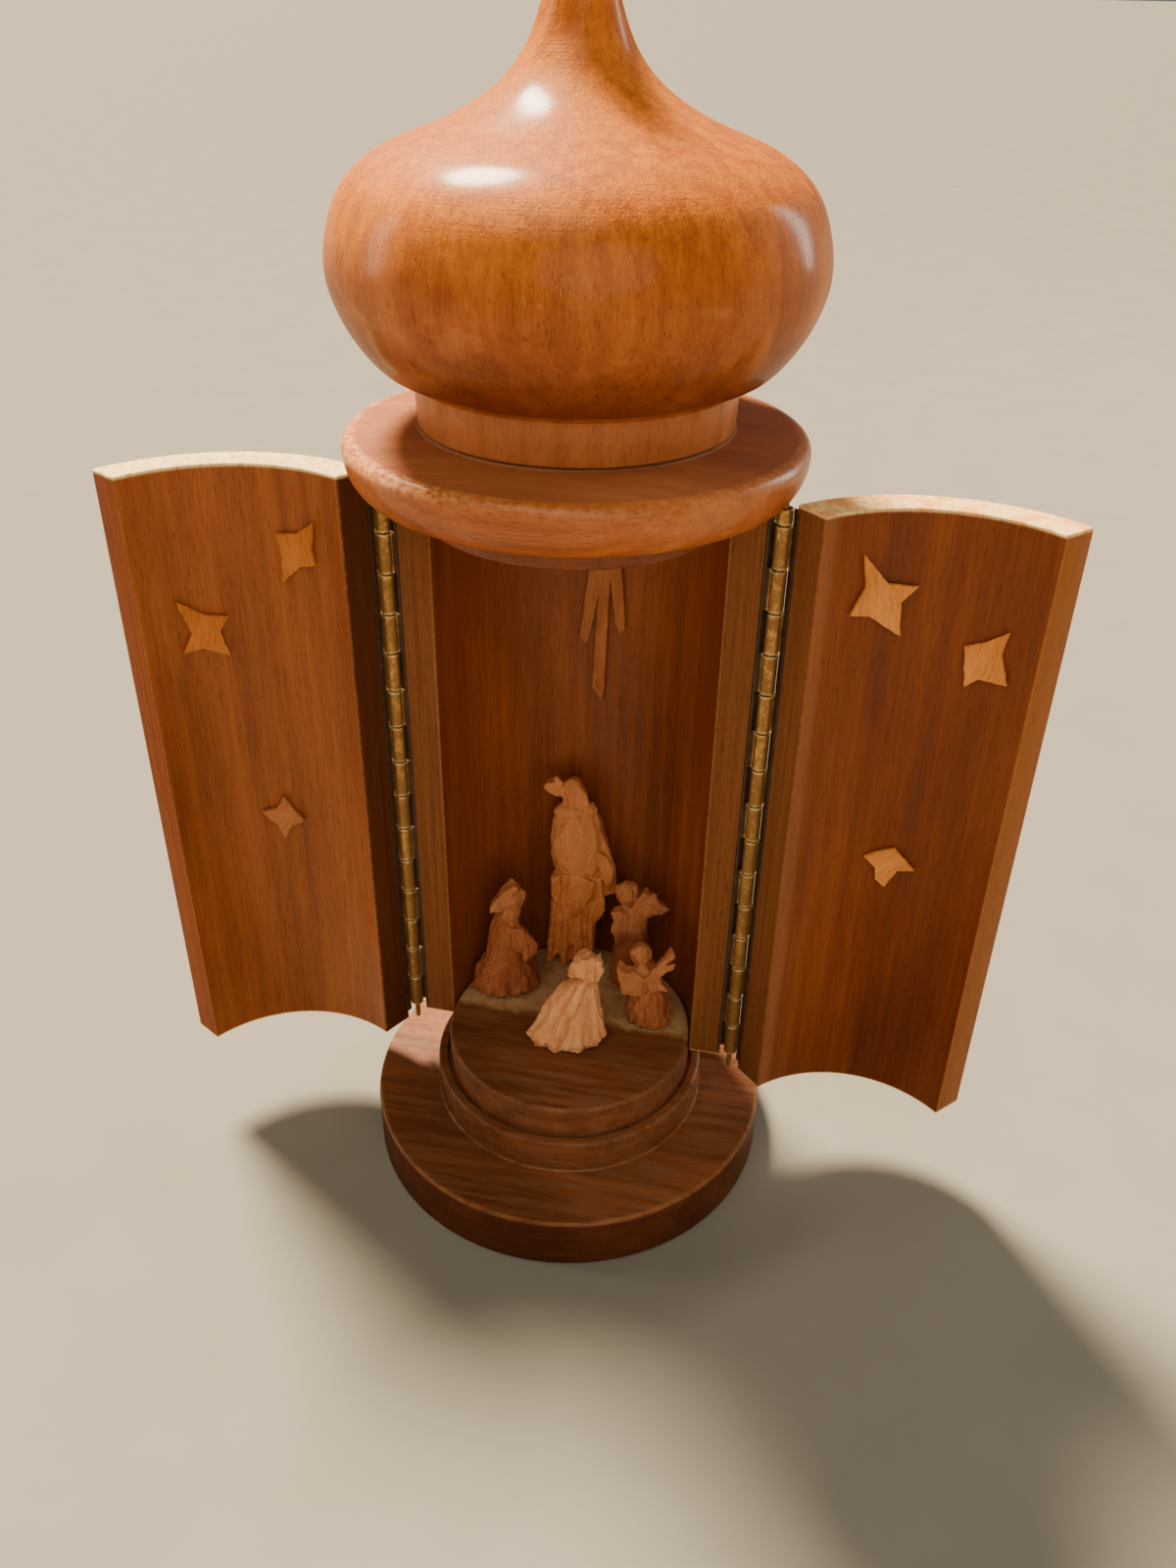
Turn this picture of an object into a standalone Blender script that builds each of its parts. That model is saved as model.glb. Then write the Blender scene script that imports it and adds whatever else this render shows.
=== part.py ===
"""Turned wooden shrine: foot, half-round shell, two hinged doors, collar and onion dome,
with whittled nativity figures, veneer stars on the doors and a comet on the back wall.

Metres, +Z up. The origin is on the turning axis at the underside of the foot, the open
front faces -Y, and the doors stand open at the angles of their hinge empties.
"""
import bpy
import bmesh
import math
from mathutils import Matrix, Vector

GAP = 0.0003                    # clearance between pieces that are glued or seated
ROUND_STEPS = 40                # facets of one full turn
BARREL_STEPS = 8                # facets of a hinge knuckle and its pin
SHARP_ANGLE = 35.0              # degrees between faces from which an edge shows as an edge

SHELL_RADIUS = 0.030            # outside of the sawn tube that gives shell and doors
WALL = 0.006
SEAM = 0.0003                   # saw gap between the shell and the closed doors
MEETING_GAP = 0.0006            # gap between the two closed doors

FOOT_OVERHANG = 0.0084          # from the outside of the shell to the edge of the foot
FOOT_HEIGHT = 0.011
FOOT_EDGE = 0.0008
STEP_LEDGE = 0.0025             # from the platform plug to the edge of the step
STEP_HEIGHT = 0.007
STEP_EDGE = 0.0006
GROOVE_WIDTH = 0.0008
GROOVE_DEPTH = 0.0009
PLATFORM_HEIGHT = 0.0063        # the plug inside the shell, where the figures stand
PLATFORM_EDGE = 0.0005

DOOR_HEIGHT = 0.1152
DOOR_LIFT = 0.0012              # under the doors, above the step
SHELL_LIFT = 0.0036             # under the shell, above the step
COLLAR_CLEARANCE = 0.0005       # over the doors

COLLAR_OVERHANG = 0.0049        # from the outside of the shell to the widest of the rim
COLLAR_HEIGHT = 0.0083
RIM_SHOULDER = 0.0018           # width of the rim's turn from the flat top to its widest
RIM_UNDERCUT = 0.0031           # and from its widest back to the underside
RIM_WIDEST = 0.78               # share of the collar's height at which the rim is widest
COLLAR_RISE = 0.001             # the top climbs this much towards the neck
COLLAR_PLUG_HEIGHT = 0.0048
RIM_STEPS = 4                   # facets of each quarter of the rim's section

NECK_INSET = 0.0114             # from the widest of the rim to the neck
NECK_HEIGHT = 0.0064
DOME_OVERHANG = 0.00015         # of the dome over the rim
DOME_HEIGHT = 0.066             # from the neck to the tip of the spire
SPIRE_TIP_RADIUS = 0.0009
# Dome outline: share of the dome's height, share of its radius
DOME_OUTLINE = ((0.032, 0.806), (0.100, 0.915), (0.223, 1.0), (0.325, 0.973), (0.415, 0.858),
                (0.480, 0.628), (0.545, 0.365), (0.625, 0.212), (0.730, 0.132))

HINGE_OFFSET = 0.0020           # from the outside of the wall to the pin
HINGE_BACK = 0.0005             # from the saw cut back to the pin
BARREL_RADIUS = 0.00125
BORE_RADIUS = 0.00085
PIN_RADIUS = 0.0005
KNUCKLES = 16                   # pitches in the door's height, halves at both ends
KNUCKLE_GAP = 0.0003
LEAF_THICKNESS = 0.0004
LEAF_WIDTH = 0.0050
LEAF_GAP = 0.0001               # between the leaf and the wood round it
LEAF_END = 0.0012               # from the leaf to each end of its wood
MORTISE_DEPTH = 0.0005          # of the flat under the leaf, measured at the saw cut
WEB_THICKNESS = 0.0006          # of the tongues between leaf and knuckles
OPEN_ANGLE = {"left": 119.6, "right": 136.1}

VENEER = 0.0009                 # stars and comet
# Stars: angle round the closed door, distance below the doors' upper end, and the outline
# of the cut chip as (right, up) from its middle, as seen from inside, in millimetres
STARS = {
    "left": (
        (-157.5, 0.0138, ((-3.6, 2.6), (0.1, 3.0), (3.8, 5.4), (2.9, 0.5), (3.4, -1.9), (0.5, -2.6),
                          (-3.2, -5.8), (-2.8, -1.2))),
        (-115.0, 0.0276, ((-4.0, 5.8), (0.6, 2.5), (4.4, 1.7), (2.8, -0.8), (3.9, -5.5), (-0.5, -3.4),
                          (-3.8, -3.7), (-2.0, -0.5))),
        (-137.4, 0.0666, ((-4.1, 1.4), (-1.2, 2.0), (0.4, 4.8), (1.7, 2.2), (3.8, -0.6), (1.3, -1.9),
                          (-0.3, -4.8), (-1.5, -1.4))),
    ),
    "right": (
        (-28.0, 0.0138, ((-4.1, 7.0), (0.6, 2.0), (5.3, 1.7), (2.9, -1.0), (3.6, -6.6), (-2.0, -3.2),
                         (-5.2, -2.8), (-3.2, 1.6))),
        (-68.5, 0.0225, ((-3.2, 1.6), (-0.2, 3.0), (3.4, 5.7), (2.8, 1.9), (4.6, -2.9), (0.0, -3.2),
                         (-2.0, -5.1), (-2.7, -1.0))),
        (-47.0, 0.0642, ((-4.5, 1.6), (-2.2, 2.8), (0.7, 3.9), (4.6, 0.1), (1.8, -0.6), (0.0, -4.4),
                         (-1.9, -3.0), (-2.2, -0.6))),
    ),
}
COMET_DROP = 0.0159             # middle of its head below the doors' upper end
# Comet: head with four points and three trailing rays, (right, up) in millimetres
COMET_OUTLINE = ((0.6, -34.0), (0.9, -31.0), (1.5, -9.2), (2.8, -17.8), (3.6, -19.5), (4.7, -18.3),
                 (4.4, -14.0), (3.6, -7.4), (2.2, -3.0), (6.2, 0.4), (2.1, 2.1), (0.2, 8.2),
                 (-1.8, 2.0), (-5.8, -0.2), (-2.0, -3.0), (-2.6, -8.3), (-3.4, -15.4), (-4.1, -20.9),
                 (-2.9, -22.1), (-2.3, -21.0), (-0.7, -12.9), (-1.5, -31.2))

PLEAT = 0.14                    # share of a figure's half width that its folds cut in at the foot
TWIST = 0.3                     # of a facet, by which every other knife-cut ring is turned
# Figures by the wall: angle round the axis, distance of the foot's middle from the wall,
# turn towards the viewer in degrees, and height
TALL_FIGURE = (97.8, 0.0041, 11.7, 0.0445)
LEFT_FIGURE = (151.6, 0.00695, 15.8, 0.0267)
RIGHT_BACK_FIGURE = (54.7, 0.00635, 8.4, 0.0256)
RIGHT_FRONT_FIGURE = (15.1, 0.00785, 7.2, 0.0190)
FRONT_FIGURE_X = 0.0009         # it kneels near the middle of the platform
FRONT_FIGURE_Y = -0.0024
FRONT_FIGURE_TURN = 12.0
FRONT_FIGURE_HEIGHT = 0.0195

step_top = FOOT_HEIGHT + STEP_HEIGHT
platform_top = step_top + PLATFORM_HEIGHT
bore_radius = SHELL_RADIUS - WALL
plug_radius = bore_radius - GAP
step_radius = plug_radius + STEP_LEDGE
foot_radius = SHELL_RADIUS + FOOT_OVERHANG
collar_radius = SHELL_RADIUS + COLLAR_OVERHANG
neck_radius = collar_radius - NECK_INSET
dome_radius = collar_radius + DOME_OVERHANG
door_bottom = step_top + DOOR_LIFT
door_top = door_bottom + DOOR_HEIGHT
shell_bottom = step_top + SHELL_LIFT
collar_bottom = door_top + COLLAR_CLEARANCE
shell_top = collar_bottom - GAP
collar_top = collar_bottom + COLLAR_HEIGHT
neck_bottom = collar_top + COLLAR_RISE + GAP
dome_bottom = neck_bottom + NECK_HEIGHT
hinge_x = SHELL_RADIUS + HINGE_OFFSET


def clear_scene():
    for obj in list(bpy.data.objects):
        bpy.data.objects.remove(obj, do_unlink=True)


def new_collection(name):
    collection = bpy.data.collections.new(name)
    bpy.context.scene.collection.children.link(collection)
    return collection


def material(name, colour, roughness, metallic=0.0):
    made = bpy.data.materials.new(name)
    made.use_nodes = True
    shader = made.node_tree.nodes["Principled BSDF"]
    shader.inputs["Base Color"].default_value = (*colour, 1.0)
    shader.inputs["Roughness"].default_value = roughness
    shader.inputs["Metallic"].default_value = metallic
    return made


def add_object(name, mesh, collection, look=None):
    """An object for the mesh, smooth where its faces turn gently."""
    obj = bpy.data.objects.new(name, mesh)
    collection.objects.link(obj)
    if look is not None:
        mesh.materials.append(look)
    mesh.shade_smooth()
    mesh.set_sharp_from_angle(angle=math.radians(SHARP_ANGLE))
    return obj


def as_cutter(obj):
    obj.hide_render = True
    obj.display_type = "WIRE"
    return obj


def combine(obj, other, operation):
    cut = obj.modifiers.new(other.name, "BOOLEAN")
    cut.operation = operation
    cut.object = other
    cut.solver = "EXACT"


def keep_flats(obj):
    """Shade sawn faces flat and round ones smooth, after the cuts."""
    obj.modifiers.new("flats", "WEIGHTED_NORMAL").keep_sharp = True


def turned(name, profile, collection, look=None, steps=ROUND_STEPS):
    """Revolve (radius, height) points, listed from top to bottom down the outer side."""
    bm = bmesh.new()
    points = [bm.verts.new((radius, 0.0, height)) for radius, height in profile]
    for upper, lower in zip(points, points[1:]):
        bm.edges.new((upper, lower))
    if profile[0][0] > 0.0:
        bm.edges.new((points[-1], points[0]))
    mesh = bpy.data.meshes.new(name)
    bm.to_mesh(mesh)
    bm.free()
    obj = add_object(name, mesh, collection, look)
    screw = obj.modifiers.new("turning", "SCREW")
    screw.steps = steps
    screw.render_steps = steps
    screw.use_merge_vertices = True
    screw.merge_threshold = 0.00001
    screw.use_smooth_shade = True
    return obj


def tube(name, outer, inner, bottom, top, collection, look=None, steps=ROUND_STEPS):
    profile = ((inner, top), (outer, top), (outer, bottom), (inner, bottom))
    return turned(name, profile, collection, look, steps)


def box(name, low, high, collection, look=None):
    """A block between two opposite corners."""
    low, high = Vector(low), Vector(high)
    bm = bmesh.new()
    bmesh.ops.create_cube(bm, size=1.0)
    bmesh.ops.scale(bm, vec=high - low, verts=bm.verts)
    bmesh.ops.translate(bm, vec=(low + high) / 2, verts=bm.verts)
    mesh = bpy.data.meshes.new(name)
    bm.to_mesh(mesh)
    bm.free()
    return add_object(name, mesh, collection, look)


def side_box(name, side, low, high, collection, look=None):
    """A block given for the right side, mirrored to the left where side is -1."""
    low_x, high_x = sorted((side * low[0], side * high[0]))
    return box(name, (low_x, low[1], low[2]), (high_x, high[1], high[2]), collection, look)


def rounded_corner(corner, radius, start, turns=2):
    """Quarter arc on an outer corner, from the start angle downwards in degrees."""
    centre = Vector(corner) - radius * Vector((1.0, 1.0))
    angles = [math.radians(start - 90.0 * i / turns) for i in range(turns + 1)]
    return [tuple(centre + radius * Vector((math.cos(a), math.sin(a)))) for a in angles]


def smooth_outline(points, cuts):
    """Catmull-Rom curve through the inner points, with cuts pieces between two of them."""
    made = []
    for before, here, there, after in zip(points, points[1:], points[2:], points[3:]):
        a, b, c, d = (Vector(p) for p in (before, here, there, after))
        for i in range(cuts):
            t = i / cuts
            bend = (2 * a - 5 * b + 4 * c - d) * t * t + (3 * b - 3 * c + d - a) * t * t * t
            made.append(tuple(b + (bend + (c - a) * t) / 2))
    made.append(tuple(points[-2]))
    return made


def plate(name, outline, thickness, matrix, collection, look=None):
    """A closed flat outline with a thickness, standing where the matrix puts it."""
    curve = bpy.data.curves.new(name, "CURVE")
    curve.dimensions = "2D"
    curve.fill_mode = "BOTH"
    curve.extrude = thickness / 2
    spline = curve.splines.new("POLY")
    spline.points.add(len(outline) - 1)
    for point, (right, up) in zip(spline.points, outline):
        point.co = (right, up, 0.0, 1.0)
    spline.use_cyclic_u = True
    drawn = bpy.data.objects.new(name + "_outline", curve)
    collection.objects.link(drawn)
    bpy.context.view_layer.update()
    evaluated = drawn.evaluated_get(bpy.context.evaluated_depsgraph_get())
    mesh = bpy.data.meshes.new_from_object(evaluated)
    mesh.name = name
    mesh.materials.clear()
    bm = bmesh.new()
    bm.from_mesh(mesh)
    bmesh.ops.remove_doubles(bm, verts=bm.verts, dist=0.000001)
    bmesh.ops.recalc_face_normals(bm, faces=bm.faces)
    bm.to_mesh(mesh)
    bm.free()
    obj = add_object(name, mesh, collection, look)
    obj.matrix_basis = matrix
    bpy.data.objects.remove(drawn, do_unlink=True)
    return obj


def hang_on(obj, axis):
    """Parent a piece to a hinge empty; its mesh is drawn where it is with the door closed."""
    closed = obj.matrix_basis.copy()
    obj.parent = axis
    obj.matrix_basis = Matrix.Translation(-axis.location) @ closed


def build_base(parts, looks):
    """Foot, step and platform plug, turned in one piece, with a groove round the plug."""
    groove_top = plug_radius + GROOVE_WIDTH
    groove_middle = plug_radius + GROOVE_WIDTH / 2
    profile = [(0.0, platform_top)]
    profile += rounded_corner((plug_radius, platform_top), PLATFORM_EDGE, 90.0)
    profile += [(plug_radius, step_top), (groove_middle, step_top - GROOVE_DEPTH), (groove_top, step_top)]
    profile += rounded_corner((step_radius, step_top), STEP_EDGE, 90.0)
    profile += [(step_radius, FOOT_HEIGHT)]
    profile += rounded_corner((foot_radius, FOOT_HEIGHT), FOOT_EDGE, 90.0)
    profile += [(foot_radius, FOOT_EDGE), (foot_radius - FOOT_EDGE, 0.0), (0.0, 0.0)]
    return turned("turned_base", profile, parts, looks["dark wood"])


def build_shell(parts, cutters, looks):
    """Back half of the tube, sawn through the axis, with a flat for each hinge leaf."""
    shell = tube("back_shell", SHELL_RADIUS, bore_radius, shell_bottom, shell_top, parts, looks["wood"])
    reach = 2 * SHELL_RADIUS
    front = box("front_half_cut", (-reach, -reach, 0.0), (reach, SEAM / 2, 2 * reach + door_top), cutters)
    combine(shell, as_cutter(front), "DIFFERENCE")
    for name, side in (("left", -1), ("right", 1)):
        low = (SHELL_RADIUS - MORTISE_DEPTH, -SEAM, shell_bottom + LEAF_END - LEAF_GAP)
        high = (SHELL_RADIUS + WALL, SEAM + LEAF_WIDTH, shell_top - LEAF_END + LEAF_GAP)
        flat = side_box(name + "_shell_mortise", side, low, high, cutters)
        combine(shell, as_cutter(flat), "DIFFERENCE")
    keep_flats(shell)
    return shell


def build_collar(parts, looks):
    """Round-edged disc with the plug below it that closes the shell's bore."""
    widest = collar_bottom + RIM_WIDEST * COLLAR_HEIGHT
    upper = []
    lower = []
    for i in range(RIM_STEPS):
        a = math.radians(90.0 * (RIM_STEPS - i) / RIM_STEPS)
        upper.append((collar_radius - RIM_SHOULDER * (1.0 - math.cos(a)),
                      widest + (collar_top - widest) * math.sin(a)))
    for i in range(RIM_STEPS + 1):
        a = math.radians(90.0 * i / RIM_STEPS)
        lower.append((collar_radius - RIM_UNDERCUT * (1.0 - math.cos(a)),
                      widest - (widest - collar_bottom) * math.sin(a)))
    profile = [(0.0, collar_top + COLLAR_RISE), (neck_radius, collar_top + COLLAR_RISE)] + upper + lower
    profile += [(plug_radius, collar_bottom), (plug_radius, collar_bottom - COLLAR_PLUG_HEIGHT),
                (0.0, collar_bottom - COLLAR_PLUG_HEIGHT)]
    return turned("collar", profile, parts, looks["wood"])


def build_dome(parts, looks):
    """Neck, onion dome and spire, turned in one piece."""
    guide = [(neck_radius, neck_bottom), (neck_radius, dome_bottom)]
    guide += [(r * dome_radius, dome_bottom + h * DOME_HEIGHT) for h, r in DOME_OUTLINE]
    tip = dome_bottom + DOME_HEIGHT
    guide += [(2 * SPIRE_TIP_RADIUS, tip - 3 * SPIRE_TIP_RADIUS), (SPIRE_TIP_RADIUS, tip)]
    outline = smooth_outline(guide, 2)
    profile = [(0.0, tip), (SPIRE_TIP_RADIUS, tip - SPIRE_TIP_RADIUS / 2)] + outline[::-1]
    profile += [(neck_radius, neck_bottom), (0.0, neck_bottom)]
    return turned("onion_dome", profile, parts, looks["wood"])


def build_hinge_leaf(name, side, owner, parts, cutters, looks):
    """Leaf plate with its own share of the knuckles, drawn with the door closed."""
    inner = SHELL_RADIUS - MORTISE_DEPTH + LEAF_GAP
    if owner == "shell":
        bottom, top, first = shell_bottom + LEAF_END, shell_top - LEAF_END, 2
        plate_y = (SEAM / 2, SEAM / 2 + LEAF_WIDTH)
        web_y = (HINGE_BACK, HINGE_BACK + WEB_THICKNESS)
        web_end = hinge_x - BORE_RADIUS - LEAF_GAP
    else:
        bottom, top, first = door_bottom + LEAF_END, door_top - LEAF_END, 1
        plate_y = (-SEAM / 2 - LEAF_WIDTH, -SEAM / 2)
        web_y = (-SEAM / 2 - WEB_THICKNESS, HINGE_BACK - (BARREL_RADIUS + BORE_RADIUS) / 2)
        web_end = hinge_x
    leaf = side_box(name, side, (inner, plate_y[0], bottom), (inner + LEAF_THICKNESS, plate_y[1], top),
                    parts, looks["brass"])
    tools = []
    pitch = DOOR_HEIGHT / KNUCKLES
    for i in range(first, KNUCKLES + 1, 2):
        low = door_bottom + (i - 0.5) * pitch + KNUCKLE_GAP / 2
        high = min(door_bottom + (i + 0.5) * pitch - KNUCKLE_GAP / 2, top)
        label = name + "_knuckle_" + str(i)
        barrel = tube(label, BARREL_RADIUS, BORE_RADIUS, low, high, cutters, steps=BARREL_STEPS)
        barrel.location = (side * hinge_x, HINGE_BACK, 0.0)
        web = side_box(label + "_web", side, (inner + LEAF_THICKNESS / 2, web_y[0], low),
                       (web_end, web_y[1], high), cutters)
        tools += [web, barrel]
    for tool in tools:
        combine(leaf, as_cutter(tool), "UNION")
    keep_flats(leaf)
    return leaf, tools


def build_hinge_pin(name, side, parts, looks):
    top = door_top + COLLAR_CLEARANCE / 2
    profile = ((0.0, top), (PIN_RADIUS, top), (PIN_RADIUS, door_bottom), (0.0, door_bottom))
    pin = turned(name, profile, parts, looks["brass"], steps=BARREL_STEPS)
    pin.location = (side * hinge_x, HINGE_BACK, 0.0)
    return pin


def veneer_sheet(name, cutters):
    """Thin tube just inside the bore; what is cut from it lies on the curved wall."""
    outer = bore_radius - GAP
    return as_cutter(tube(name, outer, outer - VENEER, door_bottom, door_top, cutters))


def wall_matrix(angle, height):
    """Frame on the inside of the wall: X right and Y up as seen from inside, Z to the axis."""
    turn = math.radians(angle)
    outward = Vector((math.cos(turn), math.sin(turn), 0.0))
    right = Vector((math.sin(turn), -math.cos(turn), 0.0))
    rows = Matrix((right, Vector((0.0, 0.0, 1.0)), -outward)).transposed().to_4x4()
    return Matrix.Translation(outward * bore_radius + Vector((0.0, 0.0, height))) @ rows


def build_chip(name, angle, drop, outline, sheet, parts, looks):
    """Flat-sawn chip of veneer, cut to its outline and laid on the curved wall."""
    points = [(0.001 * right, 0.001 * up) for right, up in outline]
    matrix = wall_matrix(angle, door_top - drop)
    chip = plate(name, points, 2 * WALL, matrix, parts, looks["raw wood"])
    combine(chip, sheet, "INTERSECT")
    keep_flats(chip)
    return chip


def build_door(name, side, parts, cutters, looks):
    """Quarter of the sawn tube with its leaf and stars, hung on an empty at the pin."""
    axis = bpy.data.objects.new(name + "_hinge_axis", None)
    parts.objects.link(axis)
    axis.location = (side * hinge_x, HINGE_BACK, 0.0)
    door = tube(name + "_door", SHELL_RADIUS, bore_radius, door_bottom, door_top, parts, looks["wood"])
    reach = 2 * SHELL_RADIUS
    quarter = side_box(name + "_door_quarter", side, (MEETING_GAP / 2, -reach, 0.0),
                       (reach, -SEAM / 2, door_top + reach), cutters)
    combine(door, as_cutter(quarter), "INTERSECT")
    flat = side_box(name + "_door_mortise", side,
                    (SHELL_RADIUS - MORTISE_DEPTH, -SEAM - LEAF_WIDTH, door_bottom + LEAF_END - LEAF_GAP),
                    (SHELL_RADIUS + WALL, SEAM, door_top - LEAF_END + LEAF_GAP), cutters)
    combine(door, as_cutter(flat), "DIFFERENCE")
    keep_flats(door)
    leaf, tools = build_hinge_leaf(name + "_hinge_door_leaf", side, "door", parts, cutters, looks)
    sheet = veneer_sheet(name + "_door_veneer_sheet", cutters)
    moving = [door, quarter, flat, leaf, sheet] + tools
    for i, (angle, drop, outline) in enumerate(STARS[name], 1):
        star = build_chip(name + "_star_" + str(i), angle, drop, outline, sheet, parts, looks)
        moving.append(star)
    for obj in moving:
        hang_on(obj, axis)
    axis.rotation_euler.z = side * math.radians(OPEN_ANGLE[name])
    return axis


def whittled(name, levels, height, place, collection, look=None, sides=16):
    """Knife-cut body drawn up from its foot; levels are (up, left, right, front, back)
    in hundredths of the figure's height, and the pleats fade towards the top."""
    bm = bmesh.new()
    share = height / 100.0
    highest = levels[-1][0]
    rings = []
    for i, (up, left, right, front, back) in enumerate(levels):
        capped = i in (0, len(levels) - 1)
        ring = bmesh.ops.create_circle(bm, cap_ends=capped, segments=sides, radius=1.0)["verts"]
        for j, vert in enumerate(ring):
            turn = 2.0 * math.pi * (j + TWIST * (i % 2)) / sides
            reach = 1.0 - (j % 2) * PLEAT * (1.0 - up / highest)
            x = (left + right) / 2 + (right - left) / 2 * reach * math.cos(turn)
            y = (front + back) / 2 + (back - front) / 2 * reach * math.sin(turn)
            vert.co = (share * x, share * y, share * up)
        rings.append({edge for vert in ring for edge in vert.link_edges})
    for lower, upper in zip(rings, rings[1:]):
        bmesh.ops.bridge_loops(bm, edges=list(lower | upper))
    bmesh.ops.recalc_face_normals(bm, faces=bm.faces)
    mesh = bpy.data.meshes.new(name)
    bm.to_mesh(mesh)
    bm.free()
    obj = add_object(name, mesh, collection, look)
    mesh.shade_flat()
    obj.matrix_basis = place
    return obj


def knob(name, centre, radii, height, place, collection):
    """Rough ball for a head or a hand, in hundredths of the figure's height."""
    bm = bmesh.new()
    bmesh.ops.create_uvsphere(bm, u_segments=8, v_segments=5, radius=1.0)
    bmesh.ops.rotate(bm, matrix=Matrix.Rotation(TWIST, 3, "Y"), verts=bm.verts)
    share = height / 100.0
    bmesh.ops.scale(bm, vec=Vector(radii) * share, verts=bm.verts)
    bmesh.ops.translate(bm, vec=Vector(centre) * share, verts=bm.verts)
    mesh = bpy.data.meshes.new(name)
    bm.to_mesh(mesh)
    bm.free()
    obj = add_object(name, mesh, collection)
    mesh.shade_flat()
    obj.matrix_basis = place
    return obj


def sliver(name, outline, front, back, height, place, collection):
    """Flat knife-cut piece such as a sleeve or brim, seen from the front as its outline."""
    share = height / 100.0
    middle = Matrix.Translation((0.0, share * (front + back) / 2, 0.0))
    matrix = place @ middle @ Matrix.Rotation(math.radians(90.0), 4, "X")
    points = [(share * right, share * up) for right, up in outline]
    return plate(name, points, share * (back - front), matrix, collection)


def by_wall(angle, distance, turn, height):
    """Place of a figure that stands at this distance from the wall, turned, and its height."""
    along = math.radians(angle)
    reach = bore_radius - distance
    foot = Vector((reach * math.cos(along), reach * math.sin(along), platform_top + GAP))
    return Matrix.Translation(foot) @ Matrix.Rotation(math.radians(turn), 4, "Z"), height


def build_figure(name, figure, body, knobs, slivers, parts, cutters, looks):
    """One figure whittled from a single stick: body, head and the flat-cut cloth."""
    place, height = figure
    obj = whittled(name, body, height, place, parts, looks["raw wood"])
    for i, (centre, radii) in enumerate(knobs, 1):
        extra = knob(name + "_knob_" + str(i), centre, radii, height, place, cutters)
        combine(obj, as_cutter(extra), "UNION")
    for i, (outline, front, back) in enumerate(slivers, 1):
        extra = sliver(name + "_sliver_" + str(i), outline, front, back, height, place, cutters)
        combine(obj, as_cutter(extra), "UNION")
    return obj


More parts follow.
